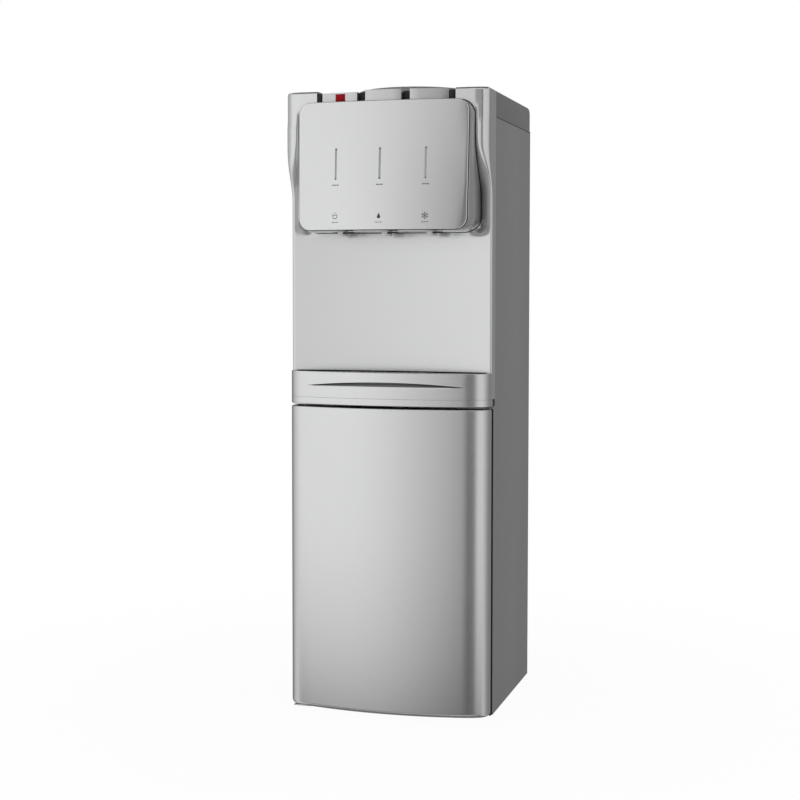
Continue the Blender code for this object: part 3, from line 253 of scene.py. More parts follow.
def group_with(name, inputs, outputs):
    """Node group with named number sockets: the tree, what goes in and out, and the place."""
    tree = bpy.data.node_groups.new(name, "ShaderNodeTree")
    for socket, value in inputs:
        made = tree.interface.new_socket(socket, in_out="INPUT", socket_type="NodeSocketFloat")
        made.default_value = value
    for socket in outputs:
        tree.interface.new_socket(socket, in_out="OUTPUT", socket_type="NodeSocketFloat")
    given = tree.nodes.new("NodeGroupInput").outputs
    result = tree.nodes.new("NodeGroupOutput").inputs
    return tree, given, result, tree.nodes.new("ShaderNodeTexCoord").outputs["Object"]


def noise(tree, place, scale, detail):
    """Soft noise from 0 to 1, its scale a number or a socket."""
    node = tree.nodes.new("ShaderNodeTexNoise")
    node.inputs["Detail"].default_value = detail
    tree.links.new(place, node.inputs["Vector"])
    feed(tree, node.inputs["Scale"], scale)
    return node.outputs["Fac"]


def grain_group():
    """Fine texture of a moulded or painted skin: a height, and a slow drift from 0 to 1."""
    tree, given, result, place = group_with("skin_grain", [("Size", 0.001), ("Drift Size", 0.06)],
                                            ["Height", "Drift"])
    for size, detail, output in (("Size", 3.0, "Height"), ("Drift Size", 4.0, "Drift")):
        density = worked_out(tree, "DIVIDE", 1.0, given[size])
        tree.links.new(noise(tree, place, density, detail), result[output])
    return tree


def flake_group():
    """Tiny flakes, each with its own shade: a value near 0.5 that differs from flake to flake."""
    tree, given, result, place = group_with("flakes", [("Size", 0.0008)], ["Shade"])
    cells = tree.nodes.new("ShaderNodeTexVoronoi")
    tree.links.new(place, cells.inputs["Vector"])
    tree.links.new(worked_out(tree, "DIVIDE", 1.0, given["Size"]), cells.inputs["Scale"])
    shade = tree.nodes.new("ShaderNodeSeparateColor")
    tree.links.new(cells.outputs["Color"], shade.inputs["Color"])
    tree.links.new(shade.outputs["Red"], result["Shade"])
    return tree


def dust_group():
    """Light dust that gathers on surfaces that face up, and a little everywhere: a mask."""
    tree, given, result, place = group_with("settled_dust", [("Amount", 0.1)], ["Mask"])
    up = tree.nodes.new("ShaderNodeSeparateXYZ")
    tree.links.new(tree.nodes.new("ShaderNodeNewGeometry").outputs["Normal"], up.inputs[0])
    facing = tree.nodes.new("ShaderNodeMapRange")
    facing.inputs["From Min"].default_value = 0.2
    facing.inputs["To Min"].default_value = 0.15
    tree.links.new(up.outputs["Z"], facing.inputs["Value"])
    patchy = worked_out(tree, "MULTIPLY", noise(tree, place, 38.0, 6.0), facing.outputs[0])
    tree.links.new(worked_out(tree, "MULTIPLY", patchy, given["Amount"]), result["Mask"])
    return tree


skin_grain = grain_group()
flakes = flake_group()
settled_dust = dust_group()
flake_size, flake_gain = 0.0006, 1.5
dust_colour = (0.55, 0.54, 0.52)


def grouped(tree, group, values):
    """Outputs of a node group placed in a material with its own values."""
    node = tree.nodes.new("ShaderNodeGroup")
    node.node_tree = group
    for name, value in values.items():
        node.inputs[name].default_value = value
    return node.outputs


def blended(tree, share, first, second):
    """Colour between two others, by a share."""
    node = tree.nodes.new("ShaderNodeMix")
    node.data_type = "RGBA"
    tree.links.new(share, node.inputs[0])
    feed(tree, node.inputs[6], first)
    feed(tree, node.inputs[7], second)
    return node.outputs[2]


def tinted(colour, gain=1.0):
    """A colour made lighter or darker, with its alpha."""
    return (*(min(channel * gain, 1) for channel in colour), 1)


def finish_with(name, colour, roughness, metallic=0.0, shift=0.04, grain=0.0012, relief=0.02,
                drift=0.06, uneven=0.06, flake=0.0, dust=0.06, specular=0.5):
    """Material whose colour drifts a little, whose roughness is uneven and whose skin has grain."""
    material = bpy.data.materials.new(name)
    material.use_nodes = True
    tree = material.node_tree
    shader = tree.nodes["Principled BSDF"].inputs
    shader["Metallic"].default_value = metallic
    shader["Specular IOR Level"].default_value = specular
    skin = grouped(tree, skin_grain, {"Size": grain, "Drift Size": drift})
    tone = blended(tree, skin["Drift"], tinted(colour, 1 - shift), tinted(colour, 1 + shift))
    if flake:
        shade = grouped(tree, flakes, {"Size": flake_size})["Shade"]
        tone = blended(tree, worked_out(tree, "MULTIPLY", shade, flake), tone,
                       tinted(colour, flake_gain))
    if dust:
        mask = grouped(tree, settled_dust, {"Amount": dust})["Mask"]
        tone = blended(tree, mask, tone, tinted(dust_colour))
    tree.links.new(tone, shader["Base Color"])
    rough = tree.nodes.new("ShaderNodeMapRange")
    rough.inputs["To Min"].default_value = max(roughness - uneven, 0.02)
    rough.inputs["To Max"].default_value = min(roughness + uneven, 1.0)
    tree.links.new(skin["Drift"], rough.inputs["Value"])
    tree.links.new(rough.outputs[0], shader["Roughness"])
    bump = tree.nodes.new("ShaderNodeBump")
    bump.inputs["Strength"].default_value = relief
    bump.inputs["Distance"].default_value = 0.001
    tree.links.new(skin["Height"], bump.inputs["Height"])
    tree.links.new(bump.outputs[0], shader["Normal"])
    return material


def dress(name, material, edge=0.0004, segments=2):
    """Give a carried-over solid its finish and soften its edges a little."""
    piece = frame["nodes"][name]
    piece.data.materials.clear()
    piece.data.materials.append(material)
    for face in piece.data.polygons:
        face.use_smooth = True
    weld = piece.modifiers.new("weld", "WELD")
    weld.merge_threshold = 0.00001
    if edge:
        bevel = piece.modifiers.new("bevel", "BEVEL")
        bevel.width = edge
        bevel.segments = segments
        bevel.limit_method = "ANGLE"
        bevel.angle_limit = math.radians(40)
        bevel.miter_outer = "MITER_ARC"
    split = piece.modifiers.new("split", "EDGE_SPLIT")
    split.split_angle = math.radians(38)


galvanised = finish_with("galvanised_steel", (0.42, 0.43, 0.44), 0.42, 0.60, shift=0.16,
                         grain=0.004, drift=0.012, uneven=0.10, dust=0.12)
foot_rubber = finish_with("foot_rubber", (0.028, 0.028, 0.028), 0.78, shift=0.12,
                          grain=0.0006, relief=0.10, dust=0.25)
dress("base_plate", galvanised)
for corner in ("front_left", "front_right", "rear_left", "rear_right"):
    dress("foot_" + corner, foot_rubber)


# Side panels
# Two folded steel sheets, powder painted a darker silver with the faint orange peel that such
# paint has. Their front and rear edges turn inward, and the door closes against the front ones.

panel_paint = finish_with("panel_paint", (0.31, 0.311, 0.315), 0.38, 0.30, shift=0.03,
                          grain=0.0022, relief=0.05, drift=0.11, uneven=0.05, flake=0.12,
                          specular=0.3)
for side in ("left", "right"):
    dress("side_panel_" + side, panel_paint, edge=0.0008)


# Decks and tanks
# Two galvanised decks cross the body. The lower one carries the small heated tank, the upper one
# the cold tank in its foam, with the evaporator pipe wound between them, and hoses lead forward.

stainless = finish_with("stainless", (0.55, 0.55, 0.55), 0.26, 1.0, shift=0.05, grain=0.0004,
                        relief=0.03, dust=0)
copper = finish_with("copper", (0.62, 0.30, 0.18), 0.30, 1.0, shift=0.12, dust=0)
foam = finish_with("foam", (0.80, 0.76, 0.66), 0.92, shift=0.08, grain=0.003, relief=0.4, dust=0)
hose_clear = finish_with("hose_clear", (0.70, 0.72, 0.72), 0.35, dust=0)
hose_red = finish_with("hose_red", (0.50, 0.10, 0.06), 0.50, dust=0)
for name, material in (("mid_deck", galvanised), ("tank_shelf", galvanised),
                       ("cold_tank", stainless), ("hot_tank", stainless),
                       ("heater_band", galvanised), ("tank_insulation", foam),
                       ("evaporator_coil", copper), ("feed_pipe", copper),
                       ("cold_hose", hose_clear), ("normal_hose", hose_clear),
                       ("hot_hose", hose_red)):
    dress(name, material, edge=0)


# Front frame
# The silver moulding that carries the control head: a hollowed splash wall above the drip tray,
# with an ear on each side that swings forward beside the head. It clips to the panels' edges.

silver = finish_with("silver_paint", (0.52, 0.522, 0.527), 0.22, 0.85, shift=0.012,
                     grain=0.0010, relief=0.02, drift=0.09, uneven=0.02, flake=0.16,
                     specular=0.15)
half_width = 0.155
sill, brow_low, brim, brim_round = 0.4703, 0.7045, 0.922, 0.005
frame_rear, frame_wall = 0.0077, 0.003
head_half, head_low, head_high, head_corner, head_gap = 0.1345, 0.7145, 0.904, 0.022, 0.0009
bay_room = ((-0.1055, -0.2, 0.8895), (0.1055, 0.026, 1.0))
tray_room = ((-0.1475, -0.2, 0.40), (0.1475, 0.2, 0.5093))


def make_piece(name, shape, materials, body, stands_for=(), smooth=38):
    """Turn a bmesh, in sizes from the front plane and the base, into a piece that moves with a body."""
    bmesh.ops.translate(shape, verts=shape.verts, vec=(0, front_plane, ground_level))
    mesh = bpy.data.meshes.new(name)
    shape.to_mesh(mesh)
    shape.free()
    for face in mesh.polygons:
        face.use_smooth = True
    mesh.set_sharp_from_angle(angle=math.radians(smooth))
    for material in materials:
        mesh.materials.append(material)
    piece = bpy.data.objects.new(name, mesh)
    scene.collection.objects.link(piece)
    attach(piece, body)
    if stands_for:
        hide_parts(*stands_for)


def new_verts(grown):
    """The points among what an operator has made."""
    return [item for item in grown["geom"] if isinstance(item, bmesh.types.BMVert)]


def skin_rows(rows):
    """Open skin made from a chain of edges along the first row, extruded from row to row."""
    shape = bmesh.new()
    chain = [shape.verts.new(point) for point in rows[0]]
    edges = [shape.edges.new(pair) for pair in zip(chain, chain[1:])]
    for row in rows[1:]:
        grown = set(bmesh.ops.extrude_edge_only(shape, edges=edges)["geom"])
        chain = [next(edge.other_vert(vert) for edge in vert.link_edges
                      if edge.other_vert(vert) in grown) for vert in chain]
        for vert, point in zip(chain, row):
            vert.co = point
        edges = [shape.edges.get(pair) for pair in zip(chain, chain[1:])]
    return shape


def face_forward(shape):
    """Give an open front skin normals that point out of the dispenser's front."""
    bmesh.ops.recalc_face_normals(shape, faces=shape.faces)
    if sum(face.normal.y * face.calc_area() for face in shape.faces) > 0:
        bmesh.ops.reverse_faces(shape, faces=shape.faces)


def draw_out(shape, way):
    """Draw the whole of a flat shape out into a solid."""
    grown = new_verts(bmesh.ops.extrude_face_region(shape, geom=list(shape.faces)))
    bmesh.ops.translate(shape, verts=grown, vec=way)
    bmesh.ops.recalc_face_normals(shape, faces=shape.faces)


def add_block(shape, low, high):
    """Add a block between two corners, and give its points."""
    made = bmesh.ops.create_cube(shape, size=1)["verts"]
    bmesh.ops.scale(shape, verts=made, vec=[b - a for a, b in zip(low, high)])
    bmesh.ops.translate(shape, verts=made, vec=[(a + b) / 2 for a, b in zip(low, high)])
    return made


def block(low, high):
    """Closed block between two corners, as a piece or to cut with."""
    shape = bmesh.new()
    add_block(shape, low, high)
    shape.normal_update()
    return shape


def cut_across(shape, place, normal):
    """Cut all of a flat shape's faces along a plane."""
    bmesh.ops.bisect_plane(shape, geom=list(shape.verts) + list(shape.edges) + list(shape.faces),
                           dist=0.000001, plane_co=place, plane_no=normal)


def round_cornered(half, low, high, corner, segments, cuts=()):
    """Upright flat face with round corners, cut into upright strips where places are given."""
    shape = bmesh.new()
    bmesh.ops.create_grid(shape, x_segments=1, y_segments=1, size=1)
    bmesh.ops.scale(shape, verts=shape.verts, vec=(half, (high - low) / 2, 1))
    bmesh.ops.rotate(shape, verts=shape.verts, matrix=Matrix.Rotation(math.radians(90), 3, "X"))
    bmesh.ops.translate(shape, verts=shape.verts, vec=(0, 0, (low + high) / 2))
    bmesh.ops.bevel(shape, geom=shape.verts, affect="VERTICES", offset=corner, segments=segments,
                    profile=0.5, material=-1)
    for x in cuts:
        cut_across(shape, (x, 0, 0), (1, 0, 0))
    return shape


def carve(shape, tool):
    """Cut one closed shape out of another."""
    pair = []
    for solid in (shape, tool):
        mesh = bpy.data.meshes.new("working")
        solid.to_mesh(mesh)
        solid.free()
        pair.append(bpy.data.objects.new("working", mesh))
        scene.collection.objects.link(pair[-1])
    step = pair[0].modifiers.new("step", "BOOLEAN")
    step.operation = "DIFFERENCE"
    step.solver = "EXACT"
    step.object = pair[1]
    graph = bpy.context.evaluated_depsgraph_get()
    made = bpy.data.meshes.new_from_object(pair[0].evaluated_get(graph))
    for working in pair:
        bpy.data.objects.remove(working, do_unlink=True)
    result = bmesh.new()
    result.from_mesh(made)
    return result


def share_of(value, start, end):
    """How far a value is on its way from a start to an end, from 0 to 1."""
    return min(max((value - start) / (end - start), 0), 1)


def eased(share):
    """A share that starts and ends softly."""
    return share * share * (3 - 2 * share)


def frame_row(level, inset=0.0):
    """Plan section of the frame at a level, from its left rear end round to its right one."""
    ear = eased(share_of(level, 0.762, 0.842))
    reach = 0.0115 + 0.0265 * ear - inset
    hollow = 0.012 * (1 - ear)
    corner = max(0.0035 + 0.0085 * ear ** 3 - inset, 0.0004)
    half = half_width - inset
    straight = half - corner
    narrow = share_of(level, 0.775, 0.855)
    groove = (0.0115 - 0.0085 * narrow) * eased(min(share_of(level, 0.709, 0.724),
                                                    share_of(level, 0.902, 0.882)))
    groove_width = 0.0168 - 0.0125 * eased(narrow)
    groove_start = 0.116
    slant = 0.21 * eased(share_of(level, 0.866, 0.882))
    right = []
    for step in range(41):
        if step < 16:
            x = groove_start * step / 16
        else:
            x = groove_start + (straight - groove_start) * (step - 16) / 24
        scoop = groove * eased(share_of(x, groove_start, head_half))
        scoop *= share_of(x, head_half + groove_width, head_half) ** 1.6
        bow = hollow * (1 - (x / straight) ** 2)
        right.append((x, bow + scoop + slant * max(x - head_half, 0) - reach))
    ear_curve = ((0.10, 0.02), (0.21, 0.055), (0.31, 0.09), (0.42, 0.15), (0.60, 0.265),
                 (0.78, 0.385), (0.88, 0.46), (0.94, 0.54), (0.975, 0.64), (0.99, 0.76), (1, 0.88),
                 (1, 1))
    for step, (out, back) in enumerate(ear_curve, 1):
        turn = math.pi / 2 * step / 12
        right.append((straight + corner * (math.sin(turn) * (1 - ear) + out * ear),
                      corner * ((1 - math.cos(turn)) * (1 - ear) + back * ear)
                      + slant * (straight - head_half) - reach))
    right.append((half, frame_rear))
    return [(-x, y, level) for x, y in right[:0:-1]] + [(x, y, level) for x, y in right]


levels = [sill + 0.0255 * step for step in range(10)] + [brow_low + 0.0025 * step for step in range(86)]
rows = [frame_row(level) for level in levels]
for step in range(1, 7):
    turn = math.pi / 2 * step / 6
    inset, rise = brim_round * (1 - math.cos(turn)), brim_round * math.sin(turn)
    rows.append([(x, y, z + rise) for x, y, z in frame_row(brim - brim_round, inset)])
rows.append([(x, frame_rear, z) for x, y, z in rows[-1]])
skin = skin_rows(rows)
face_forward(skin)
bmesh.ops.solidify(skin, geom=list(skin.faces), thickness=frame_wall)
bmesh.ops.recalc_face_normals(skin, faces=skin.faces)
opening = round_cornered(head_half + head_gap, head_low - head_gap, head_high + head_gap,
                         head_corner + head_gap, 12)
bmesh.ops.translate(opening, verts=opening.verts, vec=(0, -0.2, 0))
draw_out(opening, (0, 0.4, 0))
for tool in (opening, block(*tray_room), block(*bay_room)):
    skin = carve(skin, tool)
make_piece("splash_and_ears", skin, [silver], "cabinet", ["front_frame"], smooth=30)


# Bottle seat
# A grey ring and funnel that the bottle's neck drops into, with a hollow probe in the middle
# that opens its cap. Both are turned shapes, pressed into the cover's round hole.

grey_plastic = finish_with("grey_plastic", (0.24, 0.242, 0.246), 0.42, shift=0.03,
                           grain=0.0007, relief=0.05, specular=0.3)
light_plastic = finish_with("light_plastic", (0.60, 0.60, 0.59), 0.38, shift=0.02,
                            grain=0.0006, relief=0.04)
bottle_middle = (0, 0.138, 0)


def turned(profile, centre, steps):
    """Spin a closed profile of radii and heights round an upright axis."""
    shape = bmesh.new()
    verts = [shape.verts.new((radius, 0, height)) for radius, height in profile]
    edges = [shape.edges.new(pair) for pair in zip(verts, verts[1:] + verts[:1])]
    bmesh.ops.spin(shape, geom=verts + edges, cent=(0, 0, 0), axis=(0, 0, 1),
                   angle=2 * math.pi, steps=steps, use_merge=True)
    bmesh.ops.remove_doubles(shape, verts=shape.verts, dist=0.000001)
    bmesh.ops.recalc_face_normals(shape, faces=shape.faces)
    bmesh.ops.translate(shape, verts=shape.verts, vec=centre)
    return shape


seat_ring = [(0.0365, 0.820), (0.0365, 0.8882), (0.0840, 0.9190), (0.0850, 0.9195), (0.0850, 0.9223),
             (0.0927, 0.9223), (0.0930, 0.9226), (0.0930, 0.9332), (0.0926, 0.9341), (0.0920, 0.9346),
             (0.0920, 0.9352), (0.0913, 0.9360), (0.0842, 0.9360), (0.0831, 0.9355), (0.0825, 0.9344),
             (0.0825, 0.9217), (0.0800, 0.9200), (0.0350, 0.8893), (0.0340, 0.8880), (0.0340, 0.820)]
make_piece("bottle_seat", turned(seat_ring, bottle_middle, 128), [grey_plastic], "cabinet",
           ["bottle_collar"])
probe = [(0.0045, 0.823), (0.0337, 0.823), (0.0337, 0.826), (0.0100, 0.826), (0.0080, 0.828),
         (0.0080, 0.888), (0.0072, 0.8895), (0.0056, 0.8990), (0.0050, 0.900), (0.0045, 0.9000)]
make_piece("neck_probe", turned(probe, bottle_middle, 48), [light_plastic], "cabinet",
           ["bottle_probe"])


# Top cover
# One moulded lid in the side panels' grey, with rounded side and rear edges. It drops over the
# panels behind the control head and has the round hole that the bottle seat passes through. A
# black strip behind the seam where it meets the panels is painted shade that darkens that gap.

cover_plastic = finish_with("cover_plastic", (0.24, 0.241, 0.245), 0.38, 0.30, shift=0.03,
                            grain=0.0009, relief=0.06, drift=0.10, flake=0.10, specular=0.3)
dress("top_cover", cover_plastic, edge=0.0014, segments=3)
black_plastic = finish_with("black_plastic", (0.014, 0.014, 0.015), 0.46, shift=0.10,
                            grain=0.0005, relief=0.10, dust=0.04, specular=0.2)
# Painted shade: a thin black ring inside the seam darkens the gap between the cover and the panels.
seam_shade = carve(block((-0.1549, 0.0090, 0.8814), (0.1549, 0.2548, 0.8840)),
             block((-0.1525, 0.0, 0.88), (0.1525, 0.2525, 0.89)))
make_piece("cover_seam_shade", seam_shade, [black_plastic], "cabinet")


# Control housing
# A silver box with round corners that plugs into the frame between the ears. Its sides draw in
# toward the bowed front. It is hollow for the taps and rods and open above for the key bay.

water_places = (-0.068, 0, 0.068)
plate_lean, housing_rear, shoulder, housing_wall = 0.1915, 0.006, -0.034, 0.040
face_gap, side_draw, seat_draw = 0.0028, 0.005, 0.0075


def plate_face(x, z):
    """Where the bowed and slightly leaning face of the control plate stands."""
    lean = (head_high - z) / plate_lean
    bow = 0.0095 + 0.0080 * lean
    return -(0.0492 + 0.0064 * lean) - bow * (1 - (x / head_half) ** 2)


def kept_in(value, low, high):
    """A value kept between two limits."""
    return max(min(value, high), low)


strips = [head_half * (step / 16 - 1) for step in range(1, 32)]
housing = round_cornered(head_half, head_low, head_high, head_corner, 10, strips)
bmesh.ops.translate(housing, verts=housing.verts, vec=(0, housing_rear, 0))
ring = [edge for edge in housing.edges if edge.is_boundary]
rims = {vert: vert.co.copy() for edge in ring for vert in edge.verts}
stations = [(0.0, 0.0)] + [(share / 6, side_draw * (share / 6) ** 1.7) for share in range(1, 7)]
stations += [(1.0, seat_draw), (None, seat_draw)]
for share, draw in stations:
    grown = bmesh.ops.extrude_edge_only(housing, edges=ring)
    moved = {}
    for vert in new_verts(grown):
        rim = next(rims[edge.other_vert(vert)] for edge in vert.link_edges
                   if edge.other_vert(vert) in rims)
        core = Vector((kept_in(rim.x, head_corner - head_half, head_half - head_corner), 0,
                       kept_in(rim.z, head_low + head_corner, head_high - head_corner)))
        out = Vector((rim.x, 0, rim.z)) - core
        out = out.normalized() if out.length > 0.0001 else out
        x = rim.x - draw * out.x
        z = rim.z - draw * (out.z if draw > side_draw else min(out.z, 0))
        if share is None:
            y = -housing_wall
        else:
            y = shoulder + share * (plate_face(x, z) + face_gap - shoulder)
        vert.co = (x, y, z)
        moved[vert] = rim
    rims = moved
    ring = [item for item in grown["geom"] if isinstance(item, bmesh.types.BMEdge)
            and all(vert in rims for vert in item.verts)]
bmesh.ops.contextual_create(housing, geom=ring)
bmesh.ops.recalc_face_normals(housing, faces=housing.faces)
rooms = [bay_room, ((-0.120, -0.0415, 0.7265), (0.120, 0.0030, 0.8870)),
         ((-0.082, -0.0415, 0.6), (0.082, -0.0115, 0.7345))]
rooms += [((x - 0.0045, -0.0305, 0.88), (x + 0.0045, -0.0215, 0.90)) for x in water_places]
for low, high in rooms:
    housing = carve(housing, block(low, high))
make_piece("head_box", housing, [silver], "cabinet", ["control_housing"], smooth=30)


# Control plate and indicator windows
# A thin bowed cover in the same silver, snapped on the housing, with a rounded rim and three
# narrow slots. Grey windows lie in the slots, and small icons and dashes are printed below them.

waters = ("hot", "normal", "cold")
plate_half, plate_low, plate_corner, plate_thick = 0.1292, 0.7168, 0.0175, 0.0025
shade_rim = 0.0007
slot_low, slot_high, slot_half, slot_deep = 0.7899, 0.8357, 0.0015, 0.0008


def draw_in(shape):
    """Narrow an upright outline toward its foot, as the plate is."""
    for vert in shape.verts:
        lean = (head_high - vert.co.z) / plate_lean
        vert.co.x *= 1 - 0.0155 * lean * abs(vert.co.x) / plate_half


strips = [plate_half * (step / 22 - 1) for step in range(1, 44)]
strips = [x for x in strips if all(abs(x - place) > 0.003 for place in water_places)]
strips += [x + side for x in water_places for side in (-slot_half, slot_half)]
plate = round_cornered(plate_half, plate_low, head_high, plate_corner, 12, strips)
for z in (slot_low, slot_high):
    cut_across(plate, (0, 0, z), (0, 0, 1))
draw_in(plate)
for vert in plate.verts:
    vert.co.y = plate_face(vert.co.x, vert.co.z)
slots = []
for face in plate.faces:
    centre = face.calc_center_median()
    if slot_low < centre.z < slot_high and any(abs(centre.x - x) < slot_half for x in water_places):
        slots.append(face)
sunk = new_verts(bmesh.ops.extrude_face_region(plate, geom=slots))
bmesh.ops.delete(plate, geom=slots, context="FACES_ONLY")
bmesh.ops.translate(plate, verts=sunk, vec=(0, slot_deep, 0))
rim = [edge for edge in plate.edges if edge.is_boundary]
back = bmesh.ops.extrude_edge_only(plate, edges=rim)
bmesh.ops.translate(plate, verts=new_verts(back), vec=(0, plate_thick, 0))
bmesh.ops.contextual_create(plate, geom=[item for item in back["geom"]
                                         if isinstance(item, bmesh.types.BMEdge)
                                         and item.is_boundary])
bmesh.ops.recalc_face_normals(plate, faces=plate.faces)
bmesh.ops.bevel(plate, geom=rim, affect="EDGES", offset=0.0013, segments=4, profile=0.5, material=-1)
make_piece("face_plate", plate, [silver], "cabinet", ["control_plate"], smooth=30)
upright = Matrix.Rotation(math.radians(90), 3, "X")


def print_bars(shape, bars):
    """Add flat bars (x, z, length, width, turn) to a print."""
    for x, z, length, width, turn in bars:
        made = bmesh.ops.create_grid(shape, x_segments=1, y_segments=1, size=0.5)["verts"]
        bmesh.ops.scale(shape, verts=made, vec=(length, width, 1))
        turned_upright = upright @ Matrix.Rotation(math.radians(turn), 3, "Z")
        bmesh.ops.rotate(shape, verts=made, matrix=turned_upright)
        bmesh.ops.translate(shape, verts=made, vec=(x, 0, z))


def print_disc(shape, x, z, radius, drop=False):
    """Add a flat disc to a print, drawn up to a point where it is a drop."""
    made = bmesh.ops.create_circle(shape, cap_ends=True, segments=20, radius=radius)["verts"]
    bmesh.ops.rotate(shape, verts=made, matrix=upright)
    if drop:
        for vert in made:
            lift = max(vert.co.z / radius, 0)
            vert.co.x *= 1 - 0.75 * lift ** 1.5
            vert.co.z += radius * 1.1 * lift ** 2
    bmesh.ops.translate(shape, verts=made, vec=(x, 0, z))


def press_on(shape, front, back):
    """Give a flat print thickness and lay it on the bowed plate, between two depths."""
    face_forward(shape)
    made = set(new_verts(bmesh.ops.extrude_face_region(shape, geom=list(shape.faces))))
    for vert in shape.verts:
        vert.co.y = plate_face(vert.co.x, vert.co.z) + (front if vert in made else back)
    bmesh.ops.recalc_face_normals(shape, faces=shape.faces)


def around(middle, length, turn):
    """The point at a length and a turn from a middle."""
    return (middle[0] + length * math.cos(math.radians(turn)),
            middle[1] + length * math.sin(math.radians(turn)))


print_ink = finish_with("print_ink", (0.06, 0.06, 0.065), 0.55, shift=0.05, grain=0.0005, dust=0,
                        specular=0.1)
marks = bmesh.new()
for x in water_places:
    for z, width in ((0.7822, 0.0015), (0.7278, 0.0010)):
        print_bars(marks, [(x + step, z, 0.0026, width, 0) for step in (-0.0036, 0, 0.0036)])
cup, drop, snow = water_places
print_bars(marks, [(cup - 0.0030, 0.7364, 0.0062, 0.0008, 102),
                   (cup + 0.0030, 0.7364, 0.0062, 0.0008, 78),
                   (cup, 0.7335, 0.0044, 0.0008, 0), (cup, 0.7384, 0.0050, 0.0008, 0),
                   (cup - 0.0013, 0.7412, 0.0022, 0.0006, 90),
                   (cup + 0.0013, 0.7412, 0.0022, 0.0006, 90)])
print_disc(marks, drop, 0.7358, 0.0027, drop=True)
for turn in range(30, 390, 60):
    arm = around((snow, 0.7370), 0.0027, turn)
    fork = around((snow, 0.7370), 0.0030, turn)
    print_bars(marks, [(*arm, 0.0046, 0.0009, turn)])
    print_bars(marks, [(*around(fork, 0.0012, turn + side), 0.0016, 0.0007, turn + side)
                       for side in (-50, 50)])
press_on(marks, -0.00010, 0.00025)
make_piece("panel_print", marks, [print_ink], "cabinet")
ends = bmesh.new()
for x in water_places:
    for z in (slot_low + 0.0014, slot_high - 0.0014):
        print_disc(ends, x, z, 0.00105)
press_on(ends, 0.00035, 0.00075)
make_piece("indicator_ends", ends, [print_ink], "cabinet")
# Painted shade: a thin black sheet just larger than the plate lies behind it and shows as a dark line
# round its edge, where the gap's shadow falls.
shade_outline = round_cornered(plate_half + shade_rim, plate_low - shade_rim, head_high, 0.0180, 12, strips)
draw_in(shade_outline)
press_on(shade_outline, 0.0016, 0.0029)
make_piece("plate_shade_outline", shade_outline, [black_plastic], "cabinet")
window_grey = finish_with("window_grey", (0.34, 0.34, 0.345), 0.30, grain=0.004, relief=0.01, dust=0)
for water in waters:
    dress("indicator_" + water, window_grey, edge=0.0002)


# Keys
# Three silver press keys in a bay above the plate, hinged along their rear edge. The bay and the
# blocks between the keys are black plastic that also stands in for the shade in the hollow round
# the keys, so they are partly painted shade. A red child lock slides in the left one, and each key
# pushes a rod down.

bay_floor, bay_front, bay_back = 0.8995, -0.0410, 0.0250
# The black bay is partly painted shade for the hollow behind the keys.
dress("key_bay", black_plastic)
# Black blocks in the gaps between the keys, partly painted shade for those gaps.
dividers_and_shade = bmesh.new()
for left, right, top in ((-0.1045, -0.0975, 0.9172), (-0.0385, -0.0288, 0.9182),
                         (0.0288, 0.0385, 0.9182), (0.0975, 0.1045, 0.9182)):
    add_block(dividers_and_shade, (left, bay_front, bay_floor), (right, bay_back, top))


def soften(shape, radius, segments):
    """Round all the edges of a blocky shape."""
    bmesh.ops.bevel(shape, geom=list(shape.edges), affect="EDGES", offset=radius,
                    segments=segments, profile=0.5, material=-1)


soften(dividers_and_shade, 0.0005, 2)
make_piece("bay_dividers_and_shade", dividers_and_shade, [black_plastic], "cabinet")
key_silver = finish_with("key_silver", (0.45, 0.452, 0.457), 0.24, 0.80, shift=0.012,
                         grain=0.0010, relief=0.02, uneven=0.02, flake=0.16, specular=0.15)
for water in waters:
    dress("key_" + water, key_silver, edge=0.0010, segments=3)
    dress("valve_rod_" + water, light_plastic)
red_plastic = finish_with("red_plastic", (0.30, 0.004, 0.006), 0.45, shift=0.08, dust=0, specular=0.05)
dress("child_lock", red_plastic)


# Taps
# Pale moulded valve blocks that screw up inside the housing. Only the short spouts show below it,
# each with a small black wedge beside it.

for water in waters:
    dress("tap_" + water, light_plastic)
# Small black wedges under the housing, one beside each spout, tall at their left and thin at their
# right.
wedges = bmesh.new()
for x in water_places:
    made = add_block(wedges, (x + 0.0065, -0.0495, head_low - 0.0033),
                     (x + 0.0215, -0.0445, head_low - 0.0001))
    for vert in made:
        if vert.co.x > x + 0.0140 and vert.co.z < head_low - 0.0017:
            vert.co.z += 0.0022
soften(wedges, 0.0004, 2)
make_piece("spout_wedges", wedges, [black_plastic], "cabinet")


# Cross bar
# A short bar in the same silver between the door and the drip tray, bowed like both of them. It is
# hollow on top and carries the bracket of the door's upper hinge underneath.


def bowed_line(inset=0.0, rear=0.007):
    """Plan of the bowed front, from its left rear end round to its right one, moved inward."""
    reach, bow, corner, fullness, slope = 0.0496, 0.01291, 0.033, 0.68, 0.287
    shoulder, edge = half_width - corner, reach - bow
    start, end = Vector((shoulder, -edge, 0)), Vector((half_width, -0.007, 0))
    ahead = start + Vector((1, slope, 0)) * corner * fullness
    behind = end - Vector((0, edge - 0.007, 0)) * fullness

    def corner_point(t):
        return (start * (1 - t) ** 3 + ahead * 3 * t * (1 - t) ** 2
                + behind * 3 * t * t * (1 - t) + end * t ** 3)

    last = 1.0
    while corner_point(last).y > -rear:
        last -= 0.001
    right = [Vector((shoulder * step / 18, bow * (step / 18) ** 2 - reach, 0)) for step in range(18)]
    right += [corner_point(last * step / 14) for step in range(15)]
    line = [Vector((-point.x, point.y, 0)) for point in right[:0:-1]] + right
    moved = []
    for index, point in enumerate(line):
        along = line[min(index + 1, len(line) - 1)] - line[max(index - 1, 0)]
        if index in (0, len(line) - 1):
            along = Vector((0, 1 if index else -1, 0))
        along.normalize()
        moved.append((point.x - along.y * inset, min(point.y + along.x * inset, -rear)))
    return moved


